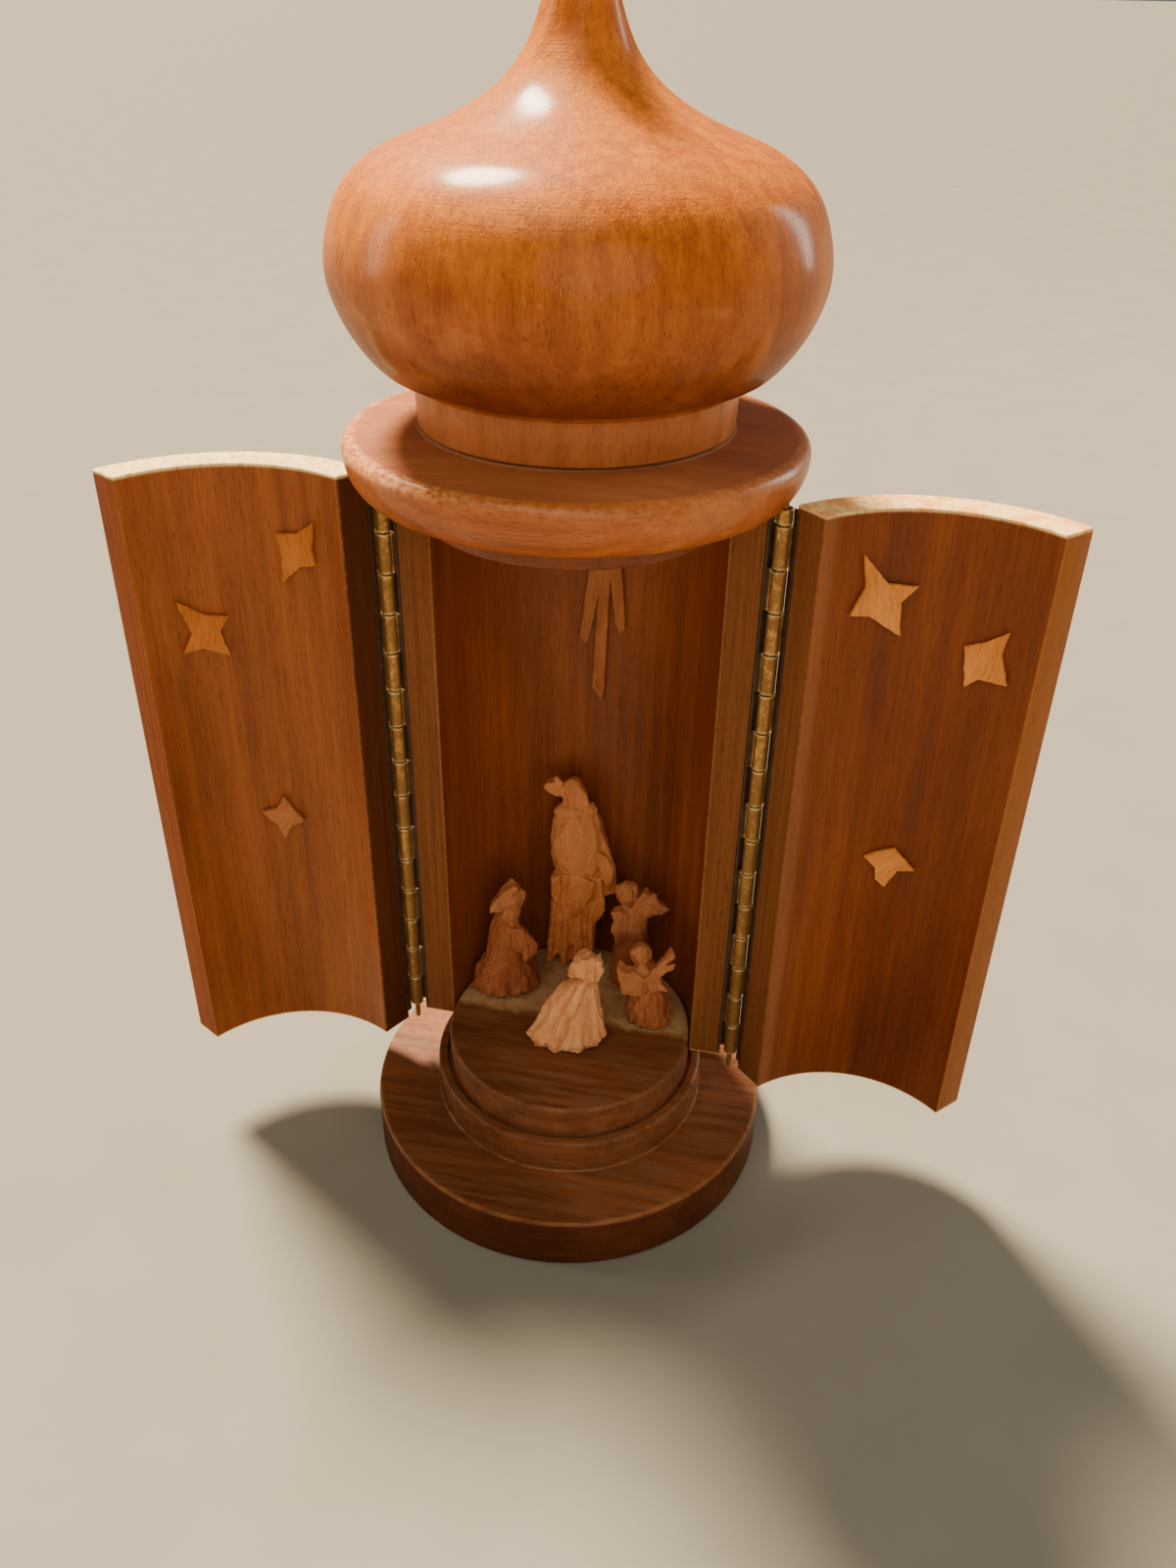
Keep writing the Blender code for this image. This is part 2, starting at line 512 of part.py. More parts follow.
def build_figures(parts, cutters, looks):
    tall = ((0, -12, 10, -5, 4), (12, -14, 9, -5, 4), (24, -14, 9, -6, 5), (31, -13, 12, -7, 5),
            (38, -13, 11, -7, 5), (50, -12, 11, -8, 6), (52, -11, 10, -6, 6), (70, -13, 11, -7, 6),
            (78, -12, 9, -7, 6), (84, -10, 8, -5, 5), (86, -8, 6, -4, 4))
    head = ((-3, -0.5, 92), (6, 5, 8))
    scarf = (((-8, 91), (-14, 94), (-16, 96), (-15, 98), (-11, 99), (-11, 102), (-8, 99)), -2.3, 2.2)
    lappet = (((0, 97), (3, 93), (4, 89), (2, 87), (-1, 86)), -4.3, 1.7)
    cloak = (((5, 84), (9, 77), (13, 65), (16, 55), (18, 44), (17, 40), (10, 38), (6, 49)), -3.4, 3.6)
    right_sleeve = (((2, 79), (9, 80), (13, 64), (13, 61), (7, 55), (3, 61)), -10.2, -2.1)
    left_sleeve = (((-11, 80), (-5, 77), (-4, 61), (-6, 48), (-12, 45), (-13, 67)), -9.1, -1.8)
    cloth = (scarf, lappet, cloak, right_sleeve, left_sleeve)
    build_figure("tall_standing_figure", by_wall(*TALL_FIGURE), tall, (head,), cloth, parts, cutters, looks)

    kneeling = ((0, -27, 26, -19, 17), (13, -26, 25, -18, 16), (22, -24, 22, -16, 15),
                (29, -16, 16, -13, 13), (37, -15, 13, -11, 12), (51, -13, 11, -10, 11),
                (63, -10, 11, -9, 10), (71, -7, 11, -8, 10), (76, -3, 9, -6, 8))
    head = ((5, 0, 83), (9, 9, 11))
    bundle = ((17, -9, 42), (6, 6, 7))
    brim = (((-12, 74), (-12, 78), (-2, 91), (7, 98), (10, 95), (2, 85), (-4, 75)), -8, 4)
    arm = (((3, 62), (12, 60), (22, 48), (23, 40), (15, 35), (4, 40)), -12, -4)
    build_figure("left_kneeling_figure", by_wall(*LEFT_FIGURE), kneeling, (head, bundle),
                 (brim, arm), parts, cutters, looks)

    crouching = ((0, -45, 34, -36, 18), (10, -42, 34, -33, 18), (26, -34, 32, -27, 17),
                 (41, -26, 29, -22, 16), (54, -15, 26, -17, 15), (63, -3, 25, -13, 13),
                 (72, 6, 21, -8, 9))
    head = ((14, -1, 83), (17, 16, 17))
    foot = Matrix.Translation((FRONT_FIGURE_X, FRONT_FIGURE_Y, platform_top + GAP))
    middle = (foot @ Matrix.Rotation(math.radians(FRONT_FIGURE_TURN), 4, "Z"), FRONT_FIGURE_HEIGHT)
    build_figure("front_figure", middle, crouching, (head,), (), parts, cutters, looks)

    standing = ((0, -20, 13, -13, 13), (30, -18, 12, -12, 12), (45, -16, 10, -11, 11), (59, -16, 9, -11, 11),
                (70, -14, 9, -10, 10), (79, -11, 0, -7, 8))
    head = ((-8, 0, 89), (9, 8, 11))
    raised_arm = (((-4, 78), (5, 95), (9, 94), (16, 89), (13, 83), (24, 76), (17, 70), (7, 64),
                   (-4, 63)), -6, 3)
    lowered_arm = (((-6, 72), (-14, 75), (-19, 71), (-19, 60), (-16, 45), (-7, 50)), -12, -3)
    build_figure("right_back_figure", by_wall(*RIGHT_BACK_FIGURE), standing, (head,),
                 (raised_arm, lowered_arm), parts, cutters, looks)

    praying = ((0, -24, 22, -19, 16), (8, -28, 21, -18, 16), (22, -29, 20, -17, 15),
               (38, -26, 17, -15, 14), (47, -23, 13, -13, 13), (63, -23, 7, -14, 13),
               (73, -20, 2, -12, 12), (78, -17, -9, -8, 8))
    head = ((-14, 0, 87), (11, 11, 12))
    left_wing = (((-10, 66), (-32, 72), (-37, 69), (-35, 57), (-31, 43), (-23, 36), (-10, 42)), -17, -3)
    right_wing = (((-10, 65), (-2, 79), (8, 92), (16, 99), (18, 96), (13, 88), (19, 84), (11, 71),
                   (7, 63), (15, 49), (13, 44), (-2, 45)), -16, -5)
    build_figure("right_front_figure", by_wall(*RIGHT_FRONT_FIGURE), praying, (head,),
                 (left_wing, right_wing), parts, cutters, looks)


def main():
    clear_scene()
    parts = new_collection("nativity_shrine")
    cutters = new_collection("cutters")
    looks = {
        "wood": material("lacquered_wood", (0.33, 0.10, 0.03), 0.32),
        "dark wood": material("lacquered_base_wood", (0.17, 0.055, 0.02), 0.35),
        "raw wood": material("raw_carving_wood", (0.55, 0.26, 0.13), 0.75),
        "brass": material("tarnished_brass", (0.30, 0.20, 0.08), 0.45, 0.9),
    }
    build_base(parts, looks)
    build_shell(parts, cutters, looks)
    build_collar(parts, looks)
    build_dome(parts, looks)
    comet_sheet = veneer_sheet("shell_veneer_sheet", cutters)
    build_chip("comet_star", 90.0, COMET_DROP, COMET_OUTLINE, comet_sheet, parts, looks)
    for name, side in (("left", -1), ("right", 1)):
        build_hinge_leaf(name + "_hinge_shell_leaf", side, "shell", parts, cutters, looks)
        build_hinge_pin(name + "_hinge_pin", side, parts, looks)
        build_door(name, side, parts, cutters, looks)
    build_figures(parts, cutters, looks)


main()
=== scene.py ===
"""Turned wooden nativity shrine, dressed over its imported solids.

Metres, +Z up. It stands on the floor at z = 0 on its turning axis, its open front faces -Y,
and its doors stand open as the solids have them.
"""
import bpy
import bmesh
import math
import random
from mathutils import Matrix, Vector, kdtree, noise


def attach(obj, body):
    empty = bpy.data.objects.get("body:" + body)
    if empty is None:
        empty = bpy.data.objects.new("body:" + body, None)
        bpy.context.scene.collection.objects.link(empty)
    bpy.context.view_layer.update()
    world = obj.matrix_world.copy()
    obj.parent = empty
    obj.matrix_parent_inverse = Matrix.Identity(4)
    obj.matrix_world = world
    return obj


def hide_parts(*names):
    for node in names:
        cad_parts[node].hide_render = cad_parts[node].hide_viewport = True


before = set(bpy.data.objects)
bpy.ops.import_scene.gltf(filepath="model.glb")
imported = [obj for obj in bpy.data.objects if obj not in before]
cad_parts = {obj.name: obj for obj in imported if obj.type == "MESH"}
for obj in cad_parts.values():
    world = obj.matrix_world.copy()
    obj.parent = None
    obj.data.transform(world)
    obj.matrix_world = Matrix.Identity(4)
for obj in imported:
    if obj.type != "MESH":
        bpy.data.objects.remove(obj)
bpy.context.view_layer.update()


# Turned base: foot, step and platform plug in one piece of dark-stained hardwood.
# It is turned on a faceplate, so the grain runs across it from left to right, and a narrow
# groove runs round the plug. Dried glue is smeared over the back of the platform.

MM = 0.001
TURNING_STEPS = 160
FOOT = (38.4, 11.0)             # radius and height of the top, in millimetres
STEP = (26.2, 18.0)
PLATFORM = (23.7, 24.3)
EDGE = 0.7                      # rounding of the turned edges
STEP_FILLET = 0.2               # small slope where the step meets the foot
GROOVE = (0.8, 0.9)             # width and depth
ARC_STEPS = 6
INNER_DISC = 12.0               # radius of the middle of the platform's mesh
MERGE = 0.000001                # points nearer than this, in metres, become one


class Finish:
    """A socket in a finish's nodes; sums and products of it add Math nodes."""

    def __init__(self, tree, socket=None):
        self.tree = tree
        self.socket = socket

    def add(self, kind, settings=None, sockets=None, output=0):
        """Add a node of this type, set it, link or fill its sockets, and wrap an output."""
        node = self.tree.nodes.new(kind)
        for name, value in (settings or {}).items():
            if name == "stops":
                for place, colour in value[1:-1]:
                    node.color_ramp.elements.new(place)
                for stop, (place, colour) in zip(node.color_ramp.elements, value):
                    stop.position = place
                    stop.color = (*colour, 1.0)
            else:
                setattr(node, name, value)
        for name, value in (sockets or {}).items():
            if isinstance(value, Finish):
                self.tree.links.new(value.socket, node.inputs[name])
            else:
                node.inputs[name].default_value = value
        return Finish(self.tree, node.outputs[output])

    def maths(self, operation, first, second):
        """One Math node on two values."""
        return self.add("ShaderNodeMath", {"operation": operation}, {0: first, 1: second})

    def __add__(self, other):
        return self.maths("ADD", self, other)

    __radd__ = __add__

    def __sub__(self, other):
        return self.maths("SUBTRACT", self, other)

    def __rsub__(self, other):
        return self.maths("SUBTRACT", other, self)

    def __mul__(self, other):
        return self.maths("MULTIPLY", self, other)

    __rmul__ = __mul__

    def ease(self, low, high):
        """0 up to low, 1 from high, eased between them; low may be the higher one."""
        if low > high:
            return 1 - self.ease(high, low)
        return self.add("ShaderNodeMapRange", {"interpolation_type": "SMOOTHSTEP"},
                        {"Value": self, "From Min": low, "From Max": high})

    def axes(self):
        """The x, y and z of this place."""
        split = self.add("ShaderNodeSeparateXYZ", None, {0: self})
        node = split.socket.node
        return [Finish(self.tree, node.outputs[i]) for i in range(3)]

    def speckle(self, size, move=0.0, detail=2.0, roughness=0.5):
        """Soft noise with grains of this size, one number or (x, y, z), read at this place."""
        sizes = size if isinstance(size, tuple) else (size,) * 3
        placed = self.add("ShaderNodeMapping", None,
                          {"Vector": self, "Scale": tuple(1.0 / s for s in sizes), "Location": (move,) * 3})
        return self.add("ShaderNodeTexNoise", None,
                        {"Vector": placed, "Scale": 1.0, "Detail": detail, "Roughness": roughness}, "Fac")

    def lines(self, scale, detail):
        """Soft noise that changes with this value alone, as turning lines do."""
        return self.add("ShaderNodeTexNoise", {"noise_dimensions": "1D"},
                        {"W": self, "Scale": scale, "Detail": detail}, "Fac")

    def ramp(self, tones):
        """Colour that this value picks from the stops (place, colour)."""
        return self.add("ShaderNodeValToRGB", {"stops": tones}, {"Fac": self})

    def between(self, first, second):
        """Colour that goes from the first to the second as this value goes from 0 to 1."""
        return self.add("ShaderNodeMix", {"data_type": "RGBA"},
                        {0: self, 6: (*first, 1.0), 7: (*second, 1.0)}, 2)

    def tint(self, amount, colour, blend="MIX"):
        """This colour with another colour laid over it by the amount."""
        other = colour if isinstance(colour, Finish) else (*colour, 1.0)
        return self.add("ShaderNodeMix", {"data_type": "RGBA", "blend_type": blend},
                        {0: amount, 6: self, 7: other}, 2)

    def darken(self, amount, colour):
        """This colour multiplied with another one by the amount."""
        return self.tint(amount, colour, "MULTIPLY")


def new_finish(name, kept_place=None):
    """A material and the place on the piece in millimetres, or the place kept in its mesh."""
    material = bpy.data.materials.new(name)
    material.use_nodes = True
    start = Finish(material.node_tree)
    if kept_place:
        return material, start.add("ShaderNodeAttribute", {"attribute_name": kept_place}, output="Vector")
    place = start.add("ShaderNodeTexCoord", output="Object")
    return material, place.add("ShaderNodeMapping", None, {"Vector": place, "Scale": (1.0 / MM,) * 3})


def set_finish(material, colour, roughness, height, depth, coat=0.0, coat_roughness=0.2, metallic=0.0,
               specular=0.22):
    """Send the colour, roughness and relief (depth in metres) to the material's shader."""
    tree = material.node_tree
    shader = tree.nodes["Principled BSDF"]
    shader.inputs["Specular IOR Level"].default_value = specular
    for name, value in (("Base Color", colour), ("Roughness", roughness), ("Metallic", metallic),
                        ("Coat Weight", coat), ("Coat Roughness", coat_roughness)):
        if isinstance(value, Finish):
            tree.links.new(value.socket, shader.inputs[name])
        else:
            shader.inputs[name].default_value = value
    bump = colour.add("ShaderNodeBump", None, {"Height": height, "Distance": depth, "Strength": 1.0})
    tree.links.new(bump.socket, shader.inputs["Normal"])


def along_grain(place, grain, across, along, move, detail=2.0, roughness=0.5):
    """Soft noise with its grains drawn out along the wood."""
    size = (along, across, across) if grain == "x" else (across, across, along)
    return place.speckle(size, move, detail, roughness)


def wood_colour(place, grain, tones, move):
    """Stained wood: broad shades, growth streaks and fine fibres, from dark to light tones."""
    broad = along_grain(place, grain, 16.0, 60.0, move, 2.0)
    streaks = along_grain(place, grain, 2.2, 90.0, move + 7.0, 4.0, 0.62)
    fibres = along_grain(place, grain, 0.32, 9.0, move + 19.0, 3.0, 0.6)
    mixed = 1.4 * (broad * 0.40 + streaks * 0.36 + fibres * 0.24) - 0.2
    return mixed.ramp(tones), streaks, fibres


def pore_mask(place, grain, move, width=0.22, length=2.4, share=0.63):
    """Short open pores along the grain."""
    pores = along_grain(place, grain, width, length, move, 1.0, 0.4)
    return pores.ease(share, share + 0.1)


def distance(x, y):
    """Distance from the line that both are measured from."""
    return x.maths("SQRT", x * x + y * y, 0.0)


def finished_piece(name, bm, sharp=32.0):
    """Turn a mesh into an object, smooth but for edges sharper than this angle in degrees."""
    mesh = bpy.data.meshes.new(name)
    bm.to_mesh(mesh)
    bm.free()
    mesh.shade_smooth()
    mesh.set_sharp_from_angle(angle=math.radians(sharp))
    piece = bpy.data.objects.new(name, mesh)
    bpy.context.scene.collection.objects.link(piece)
    return piece


def dress(piece, material, body, node):
    """Give a piece its finish, let it ride on its body and stand for its solid."""
    piece.data.materials.append(material)
    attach(piece, body)
    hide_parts(node)


def arc(centre, radii, start, end, steps=ARC_STEPS):
    """Points of an elliptical arc (radius, height) between two angles in degrees."""
    angles = [math.radians(start + (end - start) * i / steps) for i in range(steps + 1)]
    return [(centre[0] + radii[0] * math.cos(a), centre[1] + radii[1] * math.sin(a)) for a in angles]


def spun(bm, outline, degrees, steps, closed=False):
    """Spin an outline round the turning axis by this angle."""
    bmesh.ops.spin(bm, geom=outline, cent=(0.0, 0.0, 0.0), axis=(0.0, 0.0, 1.0),
                   angle=math.radians(degrees), steps=steps, use_merge=closed)


def turned(name, profile):
    """Spin (radius, height) points in millimetres, from the top down, round the axis."""
    bm = bmesh.new()
    points = [bm.verts.new((MM * radius, 0.0, MM * height)) for radius, height in profile]
    line = [bm.edges.new(pair) for pair in zip(points, points[1:])]
    spun(bm, points + line, 360.0, TURNING_STEPS, closed=True)
    bmesh.ops.remove_doubles(bm, verts=bm.verts, dist=MERGE)
    bmesh.ops.recalc_face_normals(bm, faces=bm.faces)
    return finished_piece(name, bm)


def eased_edge(radius, height):
    """Rounded outer edge of a flat top."""
    return arc((radius - EDGE, height - EDGE), (EDGE, EDGE), 90.0, 0.0)


groove_middle = PLATFORM[0] + GROOVE[0] / 2
base_profile = [(0.0, PLATFORM[1]), (INNER_DISC, PLATFORM[1])] + eased_edge(*PLATFORM)
base_profile += arc((groove_middle, STEP[1]), (GROOVE[0] / 2, GROOVE[1]), 180.0, 360.0)
base_profile += eased_edge(*STEP) + [(STEP[0], FOOT[1] + STEP_FILLET), (STEP[0] + STEP_FILLET, FOOT[1])]
base_profile += eased_edge(*FOOT) + arc((FOOT[0] - EDGE, EDGE), (EDGE, EDGE), 0.0, -90.0) + [(0.0, 0.0)]
base = turned("turned_base_wood", base_profile)

base_wood, place = new_finish("dark_stained_base_wood")
DARK_TONES = ((0.30, (0.082, 0.0215, 0.0052)), (0.45, (0.146, 0.0395, 0.0105)),
              (0.57, (0.206, 0.0600, 0.0165)), (0.72, (0.290, 0.0920, 0.0270)))
colour, streaks, fibres = wood_colour(place, "x", DARK_TONES, 3.0)
pores = pore_mask(place, "x", 31.0)
colour = colour.tint(pores * 0.50, (0.026, 0.006, 0.0010))
x, y, z = place.axes()
reach = distance(x, y)
# Paler lines along the rims: wear on the foot's and platform's edges together with painted highlight; the
# line where the step meets the foot is painted highlight only.
rim_breakup = along_grain(place, "x", 1.3, 5.0, 43.0, 3.0, 0.6)
foot_rim_rub_and_highlight = reach.ease(FOOT[0] - 1.1, FOOT[0] - 0.25) * z.ease(FOOT[1] - 1.0, FOOT[1] - 0.3)
step_foot_highlight = reach.ease(STEP[0] + 0.55, STEP[0] + 0.1) * z.ease(FOOT[1] + 0.9, FOOT[1] + 0.2)
step_foot_highlight = step_foot_highlight * reach.ease(STEP[0] - 0.5, STEP[0] - 0.1)
platform_rim_rub_and_highlight = reach.ease(PLATFORM[0] - 0.9, PLATFORM[0] - 0.3) * z.ease(PLATFORM[1] - 0.9, PLATFORM[1] - 0.2)
rim_rub_and_highlight = (foot_rim_rub_and_highlight + step_foot_highlight + platform_rim_rub_and_highlight * 0.5) * rim_breakup.ease(0.34, 0.62)
colour = colour.tint(rim_rub_and_highlight * 0.60, (0.36, 0.150, 0.045))
# The foot's side is darkened and left without coat: painted shade.
foot_side_shade = z.ease(FOOT[1] - 0.2, FOOT[1] - 1.0) * reach.ease(FOOT[0] - 0.6, FOOT[0] - 0.1)
colour = colour.darken(foot_side_shade * 0.85, (0.46, 0.34, 0.26))
bloom = along_grain(place, "x", 1.6, 14.0, 91.0, 4.0, 0.65).ease(0.36, 0.66) * (1 - foot_side_shade)
colour = colour.tint(bloom * 0.40 + 0.03, (0.270, 0.128, 0.054))
# The left front of the foot is darker: painted shade.
left_front_shade = (x + y).ease(-18.0, -34.0)
colour = colour.darken(left_front_shade * 0.60, (0.55, 0.46, 0.34))
smear_edge = y + 4.5 * place.speckle(5.0, 5.0, 3.0, 0.6) - 2.9
smear = smear_edge.ease(-1.0, 1.3) * z.ease(PLATFORM[1] - 0.4, PLATFORM[1] - 0.1)
film = place.speckle(2.2, 61.0, 4.0, 0.65)
smear = smear * (film.ease(0.25, 0.62) * 0.6 + 0.32)
colour = colour.tint(smear, (0.480, 0.290, 0.125))
dust = place.speckle(0.35, 71.0, 1.0).ease(0.72, 0.8)
colour = colour.tint(dust * 0.16, (0.42, 0.33, 0.25))
relief = fibres * 0.5 - pores * 0.9 + reach.lines(2.6, 2.0) * 0.35 + smear * film * 2.0
roughness = 0.44 + streaks * 0.18 + smear * 0.25
shine = (1 - smear) * (1 - foot_side_shade)
set_finish(base_wood, colour, roughness, relief, 0.00005, coat=0.12 * shine, coat_roughness=0.32,
           specular=0.14)
dress(base, base_wood, "shrine", "turned_base")


# Back shell: the rear half of a turned and bored tube, sawn lengthwise, stained and
# lacquered. It is glued round the platform plug below and the collar's plug above, its sawn
# faces stay paler and duller than the turned ones, and a flat is cut for each hinge leaf.

SHELL_RADIUS = 30.0
BORE_RADIUS = 24.0
SAW_GAP = 0.15                  # from the middle plane to the sawn face
SHELL_SPAN = (21.6, 134.6)
LEAF_END = 1.2                  # the hinge leaf stops short of each end of its wood
FLAT = 29.5                     # distance of the leaf's flat from the middle plane
FLAT_STEP = 0.04                # run of the small step at the end of a flat
ARRIS = 0.22                    # width of the eased edges
ARRIS_ANGLE = 40.0              # only edges sharper than this are eased
NEAR_EDGE = 1.0                 # the outer long edges, which stay sharp, lie within this
IN_PLANE = 0.0001               # in metres; points nearer a plane than this lie in it
FINE_CUT = 0.0000001            # in metres; a cut takes points nearer than this


def swing(bm, verts, angle, axis="Z", about=(0.0, 0.0, 0.0)):
    """Turn points by this angle in radians about an axis through a point."""
    bmesh.ops.rotate(bm, cent=about, matrix=Matrix.Rotation(angle, 3, axis), verts=verts)


def sliced(bm, point, normal, nearest, clear_outer=False):
    """Cut the whole mesh along a plane and return what lies in the cut."""
    return bmesh.ops.bisect_plane(bm, geom=bm.verts[:] + bm.edges[:] + bm.faces[:], dist=nearest,
                                  plane_co=point, plane_no=normal, clear_outer=clear_outer)["geom_cut"]


def sawn_board(start, end, low, high, middle_gap=0.0):
    """A stretch of the tube between two angles in degrees, with a flat for the hinge leaf
    and the place of every point kept as it is with the doors closed."""
    bm = bmesh.new()
    ends = ((BORE_RADIUS, low), (SHELL_RADIUS, low), (SHELL_RADIUS, high), (BORE_RADIUS, high))
    section = bm.faces.new([bm.verts.new((MM * radius, 0.0, MM * height)) for radius, height in ends])
    swing(bm, bm.verts, math.radians(start))
    steps = round((end - start) * TURNING_STEPS / 360.0)
    spun(bm, [section] + section.edges[:] + section.verts[:], end - start, steps)
    bmesh.ops.remove_doubles(bm, verts=bm.verts, dist=MERGE)
    bmesh.ops.recalc_face_normals(bm, faces=bm.faces)
    side = 1.0 if start + end > 0.0 else -1.0
    for vert in bm.verts:
        if abs(vert.co.y) < IN_PLANE:
            vert.co.y = side * MM * SAW_GAP
        if middle_gap and abs(vert.co.x) < IN_PLANE:
            vert.co.x = math.copysign(MM * middle_gap, math.cos(math.radians((start + end) / 2)))
    arrises = [edge for edge in bm.edges if is_arris(edge)]
    bmesh.ops.bevel(bm, geom=arrises, offset=MM * ARRIS, segments=3, profile=0.5, affect="EDGES",
                    material=-1)
    bottom, top = low + LEAF_END, high - LEAF_END
    for height in (bottom, bottom + FLAT_STEP, top - FLAT_STEP, top):
        sliced(bm, (0.0, 0.0, MM * height), (0.0, 0.0, 1.0), FINE_CUT)
    for vert in bm.verts:
        inside = MM * (bottom + FLAT_STEP / 2) < vert.co.z < MM * (top - FLAT_STEP / 2)
        if inside and abs(vert.co.x) > MM * FLAT and vert.co.y * side > 0.0:
            vert.co.x = math.copysign(MM * FLAT, vert.co.x)
    closed = bm.verts.layers.float_vector.new("closed_place")
    for vert in bm.verts:
        vert[closed] = vert.co / MM
    return bm


def is_arris(edge):
    """Whether an edge is eased, as those of the board's ends and its inner long ones are."""
    if len(edge.link_faces) != 2 or edge.calc_face_angle() < math.radians(ARRIS_ANGLE):
        return False
    middle = (edge.verts[0].co + edge.verts[1].co) / (2.0 * MM)
    long_one = abs(edge.verts[0].co.z - edge.verts[1].co.z) > MM
    outside = math.hypot(middle.x, middle.y) > SHELL_RADIUS - NEAR_EDGE
    return not (long_one and outside and abs(middle.y) < NEAR_EDGE)


def board_finish(name, move, span, face_colour, cut_colour, hinge_shade, edge_highlights=0.0):
    """Lacquered on its turned faces, with paler and duller sawn ends and edges."""
    material, place = new_finish(name, "closed_place")
    colour, streaks, fibres = wood_colour(place, "z", face_colour, move)
    pores = pore_mask(place, "z", move + 31.0, 0.2, 3.2)
    x, y, z = place.axes()
    reach = distance(x, y)
    inner = reach.ease(BORE_RADIUS + 0.12, BORE_RADIUS + 0.02)
    outer = reach.ease(SHELL_RADIUS - 0.10, SHELL_RADIUS - 0.03)
    turned_face = x.maths("MAXIMUM", inner, outer)
    sawn = 1 - turned_face
    cut_grain = along_grain(place, "z", 0.5, 30.0, move + 53.0, 3.0, 0.6)
    # The left door's sawn face beside its hinge is darkened: painted shade.
    hinge_face_shade = (y * y).ease(1.6, 0.6) * hinge_shade
    cut = cut_grain.ramp(cut_colour).darken(hinge_face_shade, (0.22, 0.21, 0.18))
    # Right door only: a paler meeting face and a pale band on the inner face beside the hinge-side cut, both
    # painted highlights.
    cut = cut.tint((x * x).ease(0.34, 0.24) * 0.60 * edge_highlights, (0.46, 0.145, 0.024))
    colour = colour.tint(sawn * 0.88, cut)
    colour = colour.tint((y * y).ease(12.0, 1.5) * inner * 0.50 * edge_highlights, (0.38, 0.140, 0.045))
    band = along_grain(place, "z", 5.0, 120.0, move + 83.0, 2.0).ease(0.42, 0.66)
    colour = colour.darken(band * turned_face * 0.30, (0.66, 0.58, 0.52))
    colour = colour.tint(pores * 0.45, (0.080, 0.0150, 0.0010))
    grit = along_grain(place, "z", 0.16, 0.8, move + 101.0, 2.0)
    colour = colour.darken(grit.ease(0.35, 0.65) * 0.16, (0.55, 0.48, 0.42))
    ends = z.ease(span[1] - 0.7, span[1] - 0.15)
    ends = x.maths("MAXIMUM", ends, z.ease(span[0] + 0.5, span[0] + 0.1))
    chafed = place.speckle(1.1, move + 13.0, 3.0, 0.6)
    colour = colour.tint(ends * (0.55 + 0.45 * chafed.ease(0.34, 0.56)), (0.98, 0.760, 0.340))
    stained = place.speckle(4.5, move + 3.0, 2.0).ease(0.46, 0.60)
    colour = colour.tint(ends * (0.30 + 0.50 * stained) * (1 - 0.85 * hinge_shade), (0.84, 0.310, 0.060))
    # Pale line along the inner arrises of the sawn faces: wear together with painted highlight.
    at_cut = x.maths("MAXIMUM", (y * y).ease(0.20, 0.12), (x * x).ease(0.34, 0.24))
    worn_and_lit_arris = at_cut * reach.ease(BORE_RADIUS + 0.5, BORE_RADIUS + 0.25) * sawn
    colour = colour.tint(worn_and_lit_arris * chafed.ease(0.30, 0.66) * 0.40, (0.50, 0.190, 0.052))
    relief = fibres * 0.6 - pores * 0.8 + sawn * cut_grain * 0.9
    roughness = 0.42 + streaks * 0.16 + sawn * 0.20 + ends * 0.12
    set_finish(material, colour, roughness, relief, 0.00005, coat=0.14 * turned_face, coat_roughness=0.28)
    return material


WARM_TONES = ((0.30, (0.135, 0.0275, 0.0034)), (0.44, (0.213, 0.0465, 0.0058)),
              (0.56, (0.272, 0.0635, 0.0082)), (0.72, (0.366, 0.0960, 0.0150)))
CUT_TONES = ((0.30, (0.148, 0.0450, 0.0105)), (0.50, (0.188, 0.0605, 0.0150)),
             (0.70, (0.230, 0.0780, 0.0205)))
shell = finished_piece("back_shell_wood", sawn_board(0.0, 180.0, *SHELL_SPAN))
shell_wood = board_finish("lacquered_shell_wood", 2.0, SHELL_SPAN, WARM_TONES, CUT_TONES, 0.0)
dress(shell, shell_wood, "shrine", "back_shell")


# Doors: the two front quarters of the same tube, stained and lacquered like it. Each hangs
# on a long brass hinge let into its outside, and its top and bottom are worn pale through the
# lacquer. The left door's lighter tones are painted light and the right door's darker ones
# painted shade; the right door's paler meeting edge and the pale band beside its hinge are
# painted highlights, and the left door's darkened face beside its hinge is painted shade.

DOOR_SPAN = (19.2, 134.4)
MEETING_GAP = 0.3               # from the middle plane to the edge where the doors meet
HINGE = (32.0, 0.5)             # distance of the pin from the middle plane, and how far back
OPEN_ANGLE = {"left_door": -119.6, "right_door": 136.1}


def hang_on_hinge(bm, door):
    """Turn what is drawn with the door closed about its hinge pin to the open angle."""
    side = -1.0 if door == "left_door" else 1.0
    swing(bm, bm.verts, math.radians(OPEN_ANGLE[door]), about=(side * MM * HINGE[0], MM * HINGE[1], 0.0))


